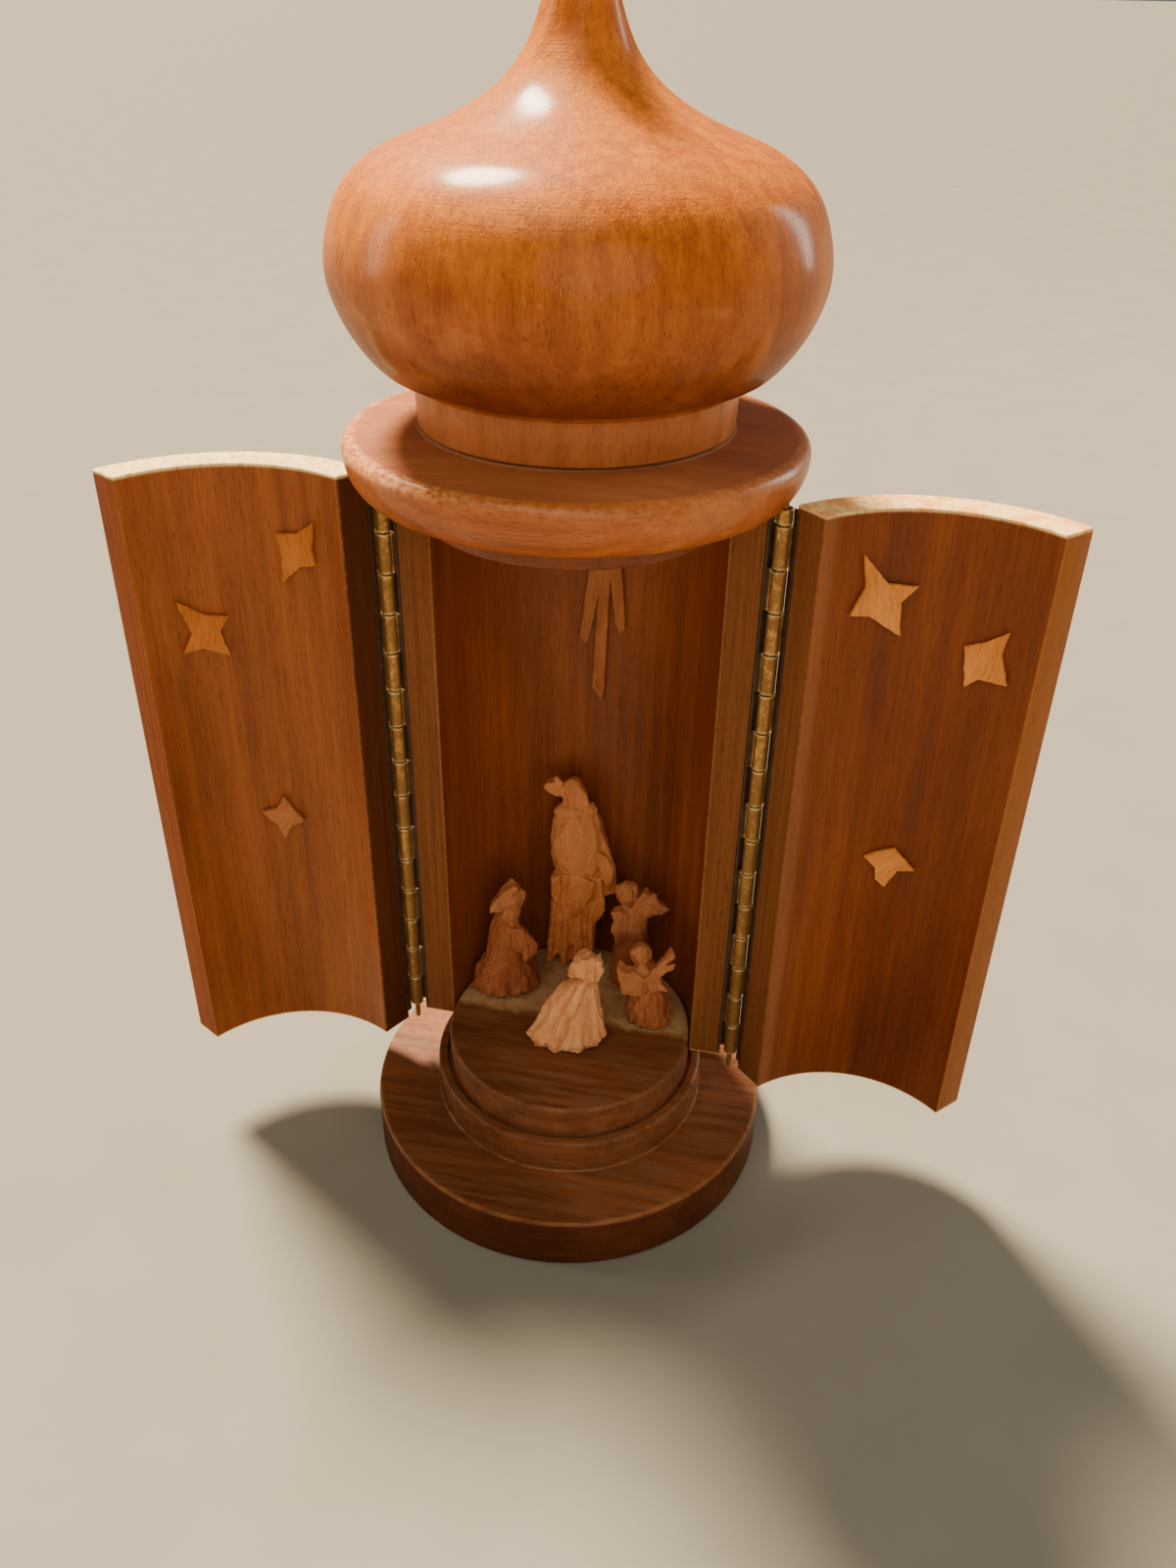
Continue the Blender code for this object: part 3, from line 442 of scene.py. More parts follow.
# Both doors are the same wood: the left door's lighter tones are painted light and the right door's darker
# ones painted shade.
LIT_LEFT_DOOR_TONES = ((0.30, (0.176, 0.0375, 0.0042)), (0.44, (0.268, 0.0625, 0.0070)),
              (0.56, (0.340, 0.0850, 0.0105)), (0.72, (0.445, 0.1270, 0.0190)))
PALE_CUT = ((0.30, (0.190, 0.0350, 0.0020)), (0.50, (0.260, 0.0520, 0.0032)),
            (0.70, (0.340, 0.0780, 0.0055)))
SHADED_RIGHT_DOOR_TONES = ((0.30, (0.110, 0.0190, 0.0010)), (0.44, (0.170, 0.0310, 0.0015)),
               (0.56, (0.225, 0.0430, 0.0022)), (0.72, (0.310, 0.0680, 0.0045)))
for door, start, tones, cut, shade, move in (("left_door", -180.0, LIT_LEFT_DOOR_TONES, PALE_CUT, 1.0, 11.0),
                                             ("right_door", -90.0, SHADED_RIGHT_DOOR_TONES, CUT_TONES, 0.0, 23.0)):
    bm = sawn_board(start, start + 90.0, *DOOR_SPAN, middle_gap=MEETING_GAP)
    hang_on_hinge(bm, door)
    board = finished_piece(door + "_wood", bm)
    door_wood = board_finish("lacquered_" + door + "_wood", move, DOOR_SPAN, tones, cut, shade, 1.0 - shade)
    dress(board, door_wood, door, door)


# Hinges: two long narrow strips of tarnished brass with rolled knuckles on a wire pin. The
# fixed leaf lies in a flat on the shell, the other in a flat on the door, and the knuckles
# take turns. The brass has gone olive brown; its knuckle ends are bright from rubbing and
# painted highlight, and its leaf edges beside the knuckles are painted dark as shade.

LEAF = (29.6, 0.4, 5.0)         # distance from the middle plane, thickness and width
BARREL = (1.25, 0.85)           # outer and inner radius of a knuckle
PIN_RADIUS = 0.5
KNUCKLES = 16                   # pitches over the height of a door
KNUCKLE_GAP = 0.3
KNUCKLE_EASE = 0.08             # broken edges of its ends
KNUCKLE_STEPS = 24
SEAM_ANGLE = 24.0               # open seam of a rolled knuckle
SEAM_LEAN = 35.0                # turn of the seam from the plane of the hinge
TONGUE = 0.6                    # thickness of the sheet between leaf and knuckle
BACK_LIP = (31.2, 1.85, 0.3)    # lip of the fixed leaf behind the knuckles: end, place, thickness
DOOR_LIP = (31.45, -1.0, 0.25)  # lip of the door's leaf, in front of them when it is closed
PIN_PROUD = 0.25                # the pin ends this far above the door
PIN_NOSE = 0.3                  # height of its rounded end
# Owner, its height, side of the saw cut, lip, tongue from front to back and its distance from
# the pin, and first knuckle
LEAVES = (("shell", SHELL_SPAN, 1.0, BACK_LIP, (HINGE[1], HINGE[1] + TONGUE), BARREL[1] + 0.1, 2),
          ("door", DOOR_SPAN, -1.0, DOOR_LIP, (-SAW_GAP - TONGUE, -0.55), 0.0, 1))


def sheet_block(bm, corner, opposite):
    """A block of sheet metal between two corners in millimetres."""
    made = bmesh.ops.create_cube(bm, size=1.0)["verts"]
    low = Vector([min(pair) for pair in zip(corner, opposite)]) * MM
    high = Vector([max(pair) for pair in zip(corner, opposite)]) * MM
    bmesh.ops.scale(bm, vec=high - low, verts=made)
    bmesh.ops.translate(bm, vec=(low + high) / 2, verts=made)


def knuckle(bm, side, low, high, seam):
    """A rolled knuckle round the pin, with its seam at this angle."""
    outer, inner = MM * BARREL[0], MM * BARREL[1]
    ease = KNUCKLE_EASE * MM
    low, high = MM * low, MM * high
    ring = ((inner, low), (outer - ease, low), (outer, low + ease), (outer, high - ease),
            (outer - ease, high), (inner, high))
    face = bm.faces.new([bm.verts.new((radius, 0.0, height)) for radius, height in ring])
    swing(bm, face.verts[:], math.radians(seam + SEAM_ANGLE / 2))
    before = set(bm.verts) - set(face.verts)
    spun(bm, [face] + face.edges[:] + face.verts[:], 360.0 - SEAM_ANGLE, KNUCKLE_STEPS)
    made = [vert for vert in bm.verts if vert not in before]
    bmesh.ops.translate(bm, vec=(side * MM * HINGE[0], MM * HINGE[1], 0.0), verts=made)


brass, place = new_finish("tarnished_hinge_brass")
patches = place.speckle((1.6, 1.6, 2.4), 3.0, 4.0, 0.65)
stains = place.speckle(0.45, 17.0, 3.0, 0.6)
tarnish = (patches * 0.65 + stains * 0.35).ease(0.34, 0.56)
colour = tarnish.between((0.57, 0.305, 0.098), (0.275, 0.133, 0.035))
x, y, z = place.axes()
pitch = (DOOR_SPAN[1] - DOOR_SPAN[0]) / KNUCKLES
beat = z.maths("PINGPONG", z - (DOOR_SPAN[0] + pitch / 2), pitch / 2)
out, back = x.maths("ABSOLUTE", x, 0.0) - HINGE[0], y - HINGE[1]
from_pin = distance(out, back)
# Leaf edges and lips beside the knuckles are darkened nearly to black, duller and less metallic: painted
# shade in the gaps.
knuckle_gap_shade = from_pin.ease(BARREL[0] + 0.05, BARREL[0] + 0.25) * from_pin.ease(3.4, 2.5)
colour = colour.tint(knuckle_gap_shade * 0.92, (0.030, 0.013, 0.004))
# Bright knuckle ends: rub wear together with painted highlight.
end_rub_and_glint = beat.ease(0.75, 0.20) * stains.ease(0.30, 0.62) * from_pin.ease(BARREL[0] + 0.3, BARREL[0] + 0.1)
colour = colour.tint(end_rub_and_glint * 0.85, (0.86, 0.60, 0.26))
verdigris = place.speckle(0.9, 41.0, 2.0).ease(0.66, 0.76)
colour = colour.tint(verdigris * 0.35, (0.10, 0.13, 0.065))
set_finish(brass, colour, 0.30 + tarnish * 0.22 + knuckle_gap_shade * 0.3, stains * 0.8 + patches * 0.4, 0.00003,
           metallic=(0.97 - 0.40 * tarnish) * (1 - knuckle_gap_shade), specular=0.4)

for side, hand, door in ((-1.0, "left", "left_door"), (1.0, "right", "right_door")):
    for owner, span, back, lip, tongue, apart, first in LEAVES:
        bm = bmesh.new()
        low, high = span[0] + LEAF_END, span[1] - LEAF_END
        sheet_block(bm, (side * LEAF[0], back * SAW_GAP, low),
                    (side * (LEAF[0] + LEAF[1]), back * (SAW_GAP + LEAF[2]), high))
        in_leaf = side * (LEAF[0] + LEAF[1] / 2)
        lip_end, lip_y, lip_thickness = lip
        sheet_block(bm, (in_leaf, lip_y, low), (side * lip_end, lip_y + lip_thickness, high))
        seam = (180.0 if side > 0.0 else 0.0) - back * side * SEAM_LEAN
        for i in range(first, KNUCKLES + 1, 2):
            bottom = DOOR_SPAN[0] + (i - 0.5) * pitch + KNUCKLE_GAP / 2
            top = min(DOOR_SPAN[0] + (i + 0.5) * pitch - KNUCKLE_GAP / 2, high)
            sheet_block(bm, (in_leaf, tongue[0], bottom), (side * (HINGE[0] - apart), tongue[1], top))
            knuckle(bm, side, bottom, top, seam)
        bmesh.ops.recalc_face_normals(bm, faces=bm.faces)
        if owner == "door":
            hang_on_hinge(bm, door)
        name = hand + "_hinge_" + owner + "_leaf"
        strip = finished_piece(name + "_brass", bm)
        dress(strip, brass, "shrine" if owner == "shell" else door, name)
    nose = arc((0.0, DOOR_SPAN[1] + PIN_PROUD - PIN_NOSE), (PIN_RADIUS, PIN_NOSE), 90.0, 0.0)
    pin = turned(hand + "_hinge_pin_wire", nose + [(PIN_RADIUS, DOOR_SPAN[0]), (0.0, DOOR_SPAN[0])])
    pin.data.transform(Matrix.Translation((side * MM * HINGE[0], MM * HINGE[1], 0.0)))
    dress(pin, brass, "shrine", hand + "_hinge_pin")


# Collar: a disc with a half-round rim and a plug below that closes the shell's bore, turned
# on a faceplate from the same wood. Its flat top is duller and painted darker as shade under
# the dome, its underside and plug are painted darker as shade, and the rim is polished, a
# little worn pale along its crest and much paler at the left as painted sunlight.

COLLAR_SPAN = (134.9, 143.2)
COLLAR_RADIUS = 34.9
RIM_SHOULDER = 1.8
RIM_UNDERCUT = 4.9
RIM_WIDEST = 0.78
COLLAR_RISE = 1.0
PLUG_RADIUS = 23.7
PLUG_BOTTOM = 130.1
PLUG_EDGE = 0.4
PLUG_FILLET = 0.5
NECK_RADIUS = 23.5

widest = COLLAR_SPAN[0] + RIM_WIDEST * (COLLAR_SPAN[1] - COLLAR_SPAN[0])
rim_start = COLLAR_RADIUS - RIM_SHOULDER
collar_profile = [(0.0, COLLAR_SPAN[1] + COLLAR_RISE), (NECK_RADIUS, COLLAR_SPAN[1] + COLLAR_RISE)]
collar_profile += arc((rim_start, widest), (RIM_SHOULDER, COLLAR_SPAN[1] - widest), 90.0, 0.0, 10)
collar_profile += arc((COLLAR_RADIUS - RIM_UNDERCUT, widest), (RIM_UNDERCUT, widest - COLLAR_SPAN[0]),
                      -6.0, -90.0, 12)
collar_profile += [(PLUG_RADIUS + PLUG_FILLET, COLLAR_SPAN[0]), (PLUG_RADIUS, COLLAR_SPAN[0] - PLUG_EDGE)]
collar_profile += arc((PLUG_RADIUS - PLUG_EDGE, PLUG_BOTTOM + PLUG_EDGE), (PLUG_EDGE, PLUG_EDGE), 0.0, -90.0)
collar_profile += [(0.0, PLUG_BOTTOM)]
collar = turned("collar_wood", collar_profile)

collar_wood, place = new_finish("lacquered_collar_wood")
COLLAR_TONES = ((0.30, (0.235, 0.0510, 0.0085)), (0.44, (0.350, 0.0850, 0.0150)),
                (0.56, (0.445, 0.1190, 0.0235)), (0.72, (0.570, 0.1800, 0.0430)))
colour, streaks, fibres = wood_colour(place, "x", COLLAR_TONES, 5.0)
pores = pore_mask(place, "x", 37.0)
x, y, z = place.axes()
reach = distance(x, y)
flat_top = reach.ease(rim_start + 0.3, rim_start - 0.5)
flat_top = flat_top * z.ease(COLLAR_SPAN[1] - 0.5, COLLAR_SPAN[1] - 0.1)
# The flat top is darker and greyer as well as duller: its colour is painted shade under the dome.
colour = colour.tint(flat_top * 0.30, (0.34, 0.140, 0.060))
colour = colour.darken(flat_top * 0.28, (0.46, 0.46, 0.60))
# The underside of the disc and the plug are darkened: painted shade under the rim.
below = z.ease(COLLAR_SPAN[0] + 0.5, COLLAR_SPAN[0] - 0.1)
colour = colour.darken(below * 0.90, (0.46, 0.37, 0.28))
neck_line = reach.ease(NECK_RADIUS + 0.5, NECK_RADIUS + 0.1) * flat_top
colour = colour.tint(neck_line * 0.5, (0.60, 0.33, 0.16))
chafed = place.speckle(1.2, 13.0, 4.0, 0.65)
rim = reach.ease(rim_start - 0.6, rim_start + 0.2) * z.ease(widest - 0.5, COLLAR_SPAN[1] - 0.4)
# Pale rim crest, much paler at the left: slight wear along the crest and painted sunlight on the left.
sunlit_left_side = x.ease(4.0, -30.0)
colour = colour.tint(rim * (0.16 + sunlit_left_side * 0.46) * chafed.ease(0.38, 0.62), (0.92, 0.46, 0.13))
colour = colour.tint(pores * 0.35, (0.100, 0.0190, 0.0015))
peel = place.speckle((0.8, 0.45, 0.45), 127.0, 2.0)
relief = fibres * 0.55 - pores * 0.9 + chafed * flat_top * 0.7 + peel * 0.7
roughness = 0.34 + streaks * 0.15 + flat_top * 0.30
set_finish(collar_wood, colour, roughness, relief, 0.00005, coat=0.24 - 0.22 * flat_top,
           coat_roughness=0.22)
dress(collar, collar_wood, "shrine", "collar")


# Onion dome: neck, bulb and spire turned between centres from one block, stained and
# lacquered to a satin shine. It is glued on the collar, its fine vertical grain shows as
# flecks round the bulb, and the tip that the photograph cuts off is finished in keeping.
# Light and shade are painted on it: a paler top, neck and glinting flecks, and a darker right
# side and underside.

NECK_SPAN = (144.5, 150.9)
NECK_EDGE = 0.35                # rounding of its lower edge
NECK_FLARE = 0.3                # it opens by this much into the bulb
DOME_RADIUS = 35.05
DOME_HEIGHT = 66.0
TIP_RADIUS = 0.9
# Share of the dome's height, share of its radius
DOME_OUTLINE = ((0.032, 0.806), (0.086, 0.898), (0.150, 0.964), (0.223, 1.0), (0.305, 0.981),
                (0.386, 0.912), (0.450, 0.762), (0.505, 0.500), (0.559, 0.325), (0.623, 0.214),
                (0.714, 0.141), (0.860, 0.075))
CURVE_STEPS = 7


def flowing_line(points, steps):
    """Smooth curve through the inner points, with this many pieces between two of them."""
    made = []
    for before, here, there, after in zip(points, points[1:], points[2:], points[3:]):
        a, b, c, d = (Vector(p) for p in (before, here, there, after))
        for i in range(steps):
            t = i / steps
            bend = (2 * a - 5 * b + 4 * c - d) * t * t + (3 * b - 3 * c + d - a) * t * t * t
            made.append(tuple(b + (bend + (c - a) * t) / 2))
    made.append(tuple(points[-2]))
    return made


tip = NECK_SPAN[1] + DOME_HEIGHT
guide = [(NECK_RADIUS, NECK_SPAN[0]), (NECK_RADIUS + NECK_FLARE, NECK_SPAN[1] - NECK_FLARE)]
guide += [(r * DOME_RADIUS, NECK_SPAN[1] + h * DOME_HEIGHT) for h, r in DOME_OUTLINE]
guide += [(1.35 * TIP_RADIUS, tip - 2.0 * TIP_RADIUS), (TIP_RADIUS, tip)]
dome_profile = arc((0.0, tip - TIP_RADIUS), (1.1 * TIP_RADIUS, TIP_RADIUS), 90.0, 20.0)
dome_profile += flowing_line(guide, CURVE_STEPS)[::-1]
dome_profile += arc((NECK_RADIUS - NECK_EDGE, NECK_SPAN[0] + NECK_EDGE), (NECK_EDGE, NECK_EDGE),
                    0.0, -90.0, 4) + [(0.0, NECK_SPAN[0])]
dome = turned("onion_dome_wood", dome_profile)

dome_wood, place = new_finish("lacquered_dome_wood")
DOME_TONES = ((0.30, (0.250, 0.0530, 0.0070)), (0.44, (0.360, 0.0860, 0.0125)),
              (0.56, (0.450, 0.1210, 0.0195)), (0.72, (0.560, 0.1790, 0.0350)))
colour, streaks, fibres = wood_colour(place, "z", DOME_TONES, 9.0)
pores = pore_mask(place, "z", 29.0, 0.24, 1.7)
flecks_and_glints = pore_mask(place, "z", 47.0, 0.26, 1.3, 0.58)
x, y, z = place.axes()
# Flecks of the grain, painted paler over the upper bulb, where they stand for glints of light.
lit_fleck_zone = place.speckle((14.0, 14.0, 9.0), 67.0, 2.0).ease(0.36, 0.62)
lit_fleck_zone = lit_fleck_zone * z.ease(NECK_SPAN[1] + 9.0, NECK_SPAN[1] + 20.0)
colour = colour.tint(flecks_and_glints * lit_fleck_zone * 0.34, (0.78, 0.300, 0.050))
colour = colour.tint(pores * 0.45, (0.150, 0.0280, 0.0015))
colour = colour.darken(fibres.ease(0.52, 0.68) * 0.30, (0.62, 0.50, 0.40))
smudges = along_grain(place, "z", 1.1, 7.0, 97.0, 2.0).ease(0.58, 0.72)
smudges = smudges * z.ease(NECK_SPAN[1] + 22.0, NECK_SPAN[1] + 8.0)
colour = colour.darken(smudges * 0.50, (0.50, 0.40, 0.34))
reach = distance(x, y)
blotch = place.speckle((9.0, 9.0, 5.0), 79.0, 3.0, 0.6)
colour = colour.darken(blotch.ease(0.50, 0.72) * 0.42, (0.58, 0.46, 0.36))
colour = colour.tint(blotch.ease(0.46, 0.28) * 0.30, (0.66, 0.235, 0.060))
# The upper bulb is tinted brighter orange: painted sunlight. Its right side is darkened: painted shade,
# mixed with fine grain.
upper = z.ease(NECK_SPAN[1] + 15.0, NECK_SPAN[1] + 24.0)
colour = colour.tint(upper * (0.30 + 0.20 * streaks.ease(0.42, 0.60)), (0.84, 0.245, 0.008))
fine_grain = along_grain(place, "z", 0.6, 9.0, 139.0, 3.0, 0.6).ease(0.46, 0.60)
right_shade_and_grain = x.ease(-8.0, 24.0) * 0.30 + fine_grain * 0.32
colour = colour.darken(right_shade_and_grain * upper, (0.60, 0.44, 0.30))
# The underside of the bulb is darkened: painted shade.
bulb_underside_shade = z.ease(NECK_SPAN[1] + 15.0, NECK_SPAN[1] + 1.0) * reach.ease(NECK_RADIUS + 0.6, NECK_RADIUS + 2.0)
colour = colour.darken(bulb_underside_shade * 0.95, (0.42, 0.29, 0.24))
# The neck is tinted paler: painted light under the bulb.
lit_neck = reach.ease(NECK_RADIUS + 0.5, NECK_RADIUS + 0.2) * z.ease(NECK_SPAN[1] + 0.6, NECK_SPAN[1] - 0.2)
colour = colour.tint(lit_neck * (0.25 + 0.45 * streaks), (0.60, 0.215, 0.075))
lines = z.lines(3.2, 3.0)
waves = along_grain(place, "z", 1.3, 2.6, 113.0, 2.0)
peel = along_grain(place, "z", 0.42, 1.2, 127.0, 2.0)
relief = fibres * 0.7 - pores * 0.9 + flecks_and_glints * 0.6 + lines * 0.45 + waves * 1.2 + peel * 0.7
roughness = 0.42 + streaks * 0.16 + lit_fleck_zone * 0.08
set_finish(dome_wood, colour, roughness, relief, 0.00006, coat=0.22, coat_roughness=0.18, specular=0.08)
dress(dome, dome_wood, "shrine", "onion_dome")


# Comet and stars: thin chips of pale unfinished wood, cut with a knife and glued on the
# curved walls. Their edges are slightly split along the grain, and one star on the left
# door has taken the colour of the door.

CHIP = 0.6                      # thickness of a chip
CHIP_GLUE = 0.3                 # between the chip and the wall
CHIP_SPLIT = 0.8                # length of the small splits along its edge
CHIP_ARRIS = 0.10               # width of its eased front edges
CHIP_SHARP = 50.0               # edges under this angle in degrees are shaded smooth
# Axis, start, end and width of the strips that let a chip follow the curve of the wall
CHIP_STRIPS = ((0, -7.0, 7.0, 0.45), (1, -35.0, 9.0, 0.90))
CHIP_CUT = 0.0001               # in millimetres; a strip's edge takes points nearer than this
STARS = {
    "left_door": (
        (-157.5, 120.6, ((-3.6, 2.6), (0.1, 3.0), (3.8, 5.4), (2.9, 0.5), (3.4, -1.9), (0.5, -2.6),
                         (-3.2, -5.8), (-2.8, -1.2))),
        (-115.0, 106.8, ((-4.0, 5.8), (0.6, 2.5), (4.4, 1.7), (2.8, -0.8), (3.9, -5.5), (-0.5, -3.4),
                         (-3.8, -3.7), (-2.0, -0.5))),
        (-137.4, 67.8, ((-4.1, 1.4), (-1.2, 2.0), (0.4, 4.8), (1.7, 2.2), (3.8, -0.6), (1.3, -1.9),
                        (-0.3, -4.8), (-1.5, -1.4))),
    ),
    "right_door": (
        (-28.0, 120.6, ((-4.1, 7.0), (0.6, 2.0), (5.3, 1.7), (2.9, -1.0), (3.6, -6.6), (-2.0, -3.2),
                        (-5.2, -2.8), (-3.2, 1.6))),
        (-68.5, 111.9, ((-3.2, 1.6), (-0.2, 3.0), (3.4, 5.7), (2.8, 1.9), (4.6, -2.9), (0.0, -3.2),
                        (-2.0, -5.1), (-2.7, -1.0))),
        (-47.0, 70.2, ((-4.5, 1.6), (-2.2, 2.8), (0.7, 3.9), (4.6, 0.1), (1.8, -0.6), (0.0, -4.4),
                       (-1.9, -3.0), (-2.2, -0.6))),
    ),
}
COMET = (90.0, 118.5, ((0.6, -34.0), (0.9, -31.0), (1.5, -9.2), (2.8, -17.8), (3.6, -19.5), (4.7, -18.3),
                       (4.4, -14.0), (3.6, -7.4), (2.2, -3.0), (6.2, 0.4), (2.1, 2.1), (0.2, 8.2),
                       (-1.8, 2.0), (-5.8, -0.2), (-2.0, -3.0), (-2.6, -8.3), (-3.4, -15.4), (-4.1, -20.9),
                       (-2.9, -22.1), (-2.3, -21.0), (-0.7, -12.9), (-1.5, -31.2)))


def drawn_out(bm, face, shift):
    """Draw a flat face out into a solid and return the points that moved."""
    grown = bmesh.ops.extrude_face_region(bm, geom=[face])["geom"]
    moved = [vert for vert in grown if isinstance(vert, bmesh.types.BMVert)]
    bmesh.ops.translate(bm, vec=shift, verts=moved)
    return moved


def chip_mesh(angle, height, outline, seed):
    """Cut a chip to its outline with slightly split edges and bend it on the wall."""
    dice = random.Random(seed)
    rim = []
    for (ax, ay), (bx, by) in zip(outline, outline[1:] + outline[:1]):
        pieces = max(2, round(math.hypot(bx - ax, by - ay) / CHIP_SPLIT))
        for i in range(pieces):
            t = i / pieces
            split = 0.0 if i == 0 else dice.uniform(-0.11, 0.05)
            rim.append((ax + (bx - ax) * t + split, ay + (by - ay) * t + split))
    bm = bmesh.new()
    face = bm.faces.new([bm.verts.new((right, up, 0.0)) for right, up in rim])
    if face.normal.z < 0.0:
        face.normal_flip()
    raised = drawn_out(bm, face, (0.0, 0.0, CHIP))
    bmesh.ops.recalc_face_normals(bm, faces=bm.faces)
    brink = [edge for edge in bm.edges if all(vert in raised for vert in edge.verts)]
    bmesh.ops.bevel(bm, geom=brink, offset=CHIP_ARRIS, segments=2, profile=0.5, affect="EDGES",
                    material=-1)
    for across, low, high, width in CHIP_STRIPS:
        count = int((high - low) / width)
        for i in range(1, count):
            point, normal = Vector(), Vector()
            point[across] = low + (high - low) * i / count
            normal[across] = 1.0
            sliced(bm, point, normal, CHIP_CUT)
    chip_place = bm.verts.layers.float_vector.new("chip_place")
    for vert in bm.verts:
        vert[chip_place] = vert.co.copy()
        right, up, proud = vert.co
        ripple = 0.10 * noise.noise(Vector((2.2 * right, 0.5 * up, seed))) * proud
        reach = BORE_RADIUS - CHIP_GLUE - proud - ripple
        turn = math.radians(angle) - right / BORE_RADIUS
        vert.co = Vector((reach * math.cos(turn), reach * math.sin(turn), height + up)) * MM
    bmesh.ops.triangulate(bm, faces=[face for face in bm.faces if len(face.verts) > 4])
    bmesh.ops.recalc_face_normals(bm, faces=bm.faces)
    return bm


def chip_finish(name, tones, lean):
    """Bare wood with its fibres running across the chip at this lean in degrees."""
    material, place = new_finish(name, "chip_place")
    place = place.add("ShaderNodeMapping", None,
                      {"Vector": place, "Rotation": (0.0, 0.0, math.radians(lean))})
    shade = place.speckle((3.0, 12.0, 3.0), 5.0, 3.0, 0.6)
    fibres = place.speckle((0.22, 3.5, 0.22), 15.0, 3.0, 0.65)
    colour = (shade * 0.5 + fibres * 0.5).ramp(tones)
    splits = place.speckle((0.16, 2.4, 0.16), 33.0, 1.0).ease(0.66, 0.76)
    colour = colour.tint(splits * 0.45, (0.20, 0.075, 0.028))
    set_finish(material, colour, 0.62 + fibres * 0.2, fibres * 1.4 - splits * 1.2, 0.00007)
    return material


BARE_TONES = ((0.30, (0.52, 0.156, 0.024)), (0.46, (0.70, 0.232, 0.042)), (0.70, (0.90, 0.370, 0.095)))
TAN_TONES = ((0.30, (0.36, 0.096, 0.013)), (0.46, (0.49, 0.142, 0.021)), (0.70, (0.65, 0.225, 0.046)))
STAINED_TONES = ((0.30, (0.300, 0.086, 0.022)), (0.46, (0.420, 0.130, 0.038)), (0.70, (0.530, 0.195, 0.070)))
COMET_TONES = ((0.30, (0.24, 0.066, 0.018)), (0.46, (0.36, 0.110, 0.032)), (0.70, (0.51, 0.193, 0.072)))
for door, stars in STARS.items():
    for i, (angle, height, outline) in enumerate(stars, 1):
        bm = chip_mesh(angle, height, outline, len(door) + i)
        hang_on_hinge(bm, door)
        node = door.replace("door", "star_" + str(i))
        star = finished_piece(node + "_chip", bm, CHIP_SHARP)
        tones = BARE_TONES if door == "right_door" else TAN_TONES
        tones = STAINED_TONES if node == "left_star_3" else tones
        dress(star, chip_finish(node + "_wood", tones, 25.0 * i - 40.0), door, node)
comet = finished_piece("comet_star_chip", chip_mesh(*COMET, 31), CHIP_SHARP)
dress(comet, chip_finish("comet_star_wood", COMET_TONES, 0.0), "shrine", "comet_star")


# Figures: five small sticks of pale wood, each whittled with a knife into a robed figure
# without a face, left raw and glued on the platform. Facets, pleats and split fibres show
# the strokes of the knife.

FIGURE_FOOT = PLATFORM[1] + 0.3
GRID = 0.17                     # size of the squares that the carved surface is made of
FINE_GRID = 0.14
SOFTENING = 3                   # times that the fused parts are eased before the knife cuts
SMOOTHING = 2                   # times that the cut facets are eased
TAPER = 0.75                    # width of a flat-cut piece at its back, as a share of its front
CHUNK_CUT = 0.0001              # a knife cut takes points nearer than this
FACET_STRETCH = 0.45            # a facet is longer along the stick than across
FACET_LIMITS = (-0.20, 0.15)    # how far in and out a cut may move the surface
FACET_DEPTH = 0.8               # share of the way to the flat of its cut
STEEPEST = 0.35                 # least cosine between the surface and the flat of its cut
WAVER = 0.20                    # height of the coarse unevenness
FIBRE = 0.07                    # height of the raised fibres
TORN = 0.09                     # and of the torn ones
CARVED_SHARP = 42.0             # edges under this angle in degrees are shaded smooth
NO_FLUTES = (0, 0.0, 0.0)


def stick(levels, seed, sides=16, pleat=0.12):
    """Body drawn up from the foot, the first part of a figure; levels are (up, left, right,
    front, back) in hundredths of the figure's height."""
    bm = bmesh.new()
    dice = random.Random(seed)
    highest = levels[-1][0]
    rings = []
    for i, (up, left, right, front, back) in enumerate(levels):
        capped = i in (0, len(levels) - 1)
        ring = bmesh.ops.create_circle(bm, cap_ends=capped, segments=sides, radius=1.0)["verts"]
        for j, vert in enumerate(ring):
            turn = 2.0 * math.pi * (j + 0.3 * (i % 2)) / sides
            cut = 1.0 - (j % 2) * pleat * (1.0 - up / highest) - dice.uniform(0.0, 0.05)
            x = (left + right) / 2 + (right - left) / 2 * cut * math.cos(turn)
            y = (front + back) / 2 + (back - front) / 2 * cut * math.sin(turn)
            vert.co = (x, y, up)
        rings.append({edge for vert in ring for edge in vert.link_edges})
    for lower, upper in zip(rings, rings[1:]):
        bmesh.ops.bridge_loops(bm, edges=list(lower | upper))
    return bm


def chunk(bm, centre, radii, cuts, seed, lean=0.0):
    """A block rounded by this many flat knife cuts; lean tips it to the side, in degrees."""
    part = bmesh.new()
    bmesh.ops.create_cube(part, size=2.0)
    dice = random.Random(seed)
    for i in range(cuts):
        up = 1.0 - 2.0 * (i + 0.5) / cuts
        turn = i * 2.4 + dice.uniform(-0.4, 0.4)
        level = math.sqrt(1.0 - up * up)
        normal = Vector((level * math.cos(turn), level * math.sin(turn), up))
        cut = sliced(part, normal * dice.uniform(0.86, 1.0), normal, CHUNK_CUT, clear_outer=True)
        rim = [edge for edge in cut if isinstance(edge, bmesh.types.BMEdge)]
        if rim:
            bmesh.ops.edgeloop_fill(part, edges=rim)
    bmesh.ops.scale(part, vec=radii, verts=part.verts)
    swing(part, part.verts, math.radians(lean), "Y")
    bmesh.ops.translate(part, vec=centre, verts=part.verts)
    join(bm, part)


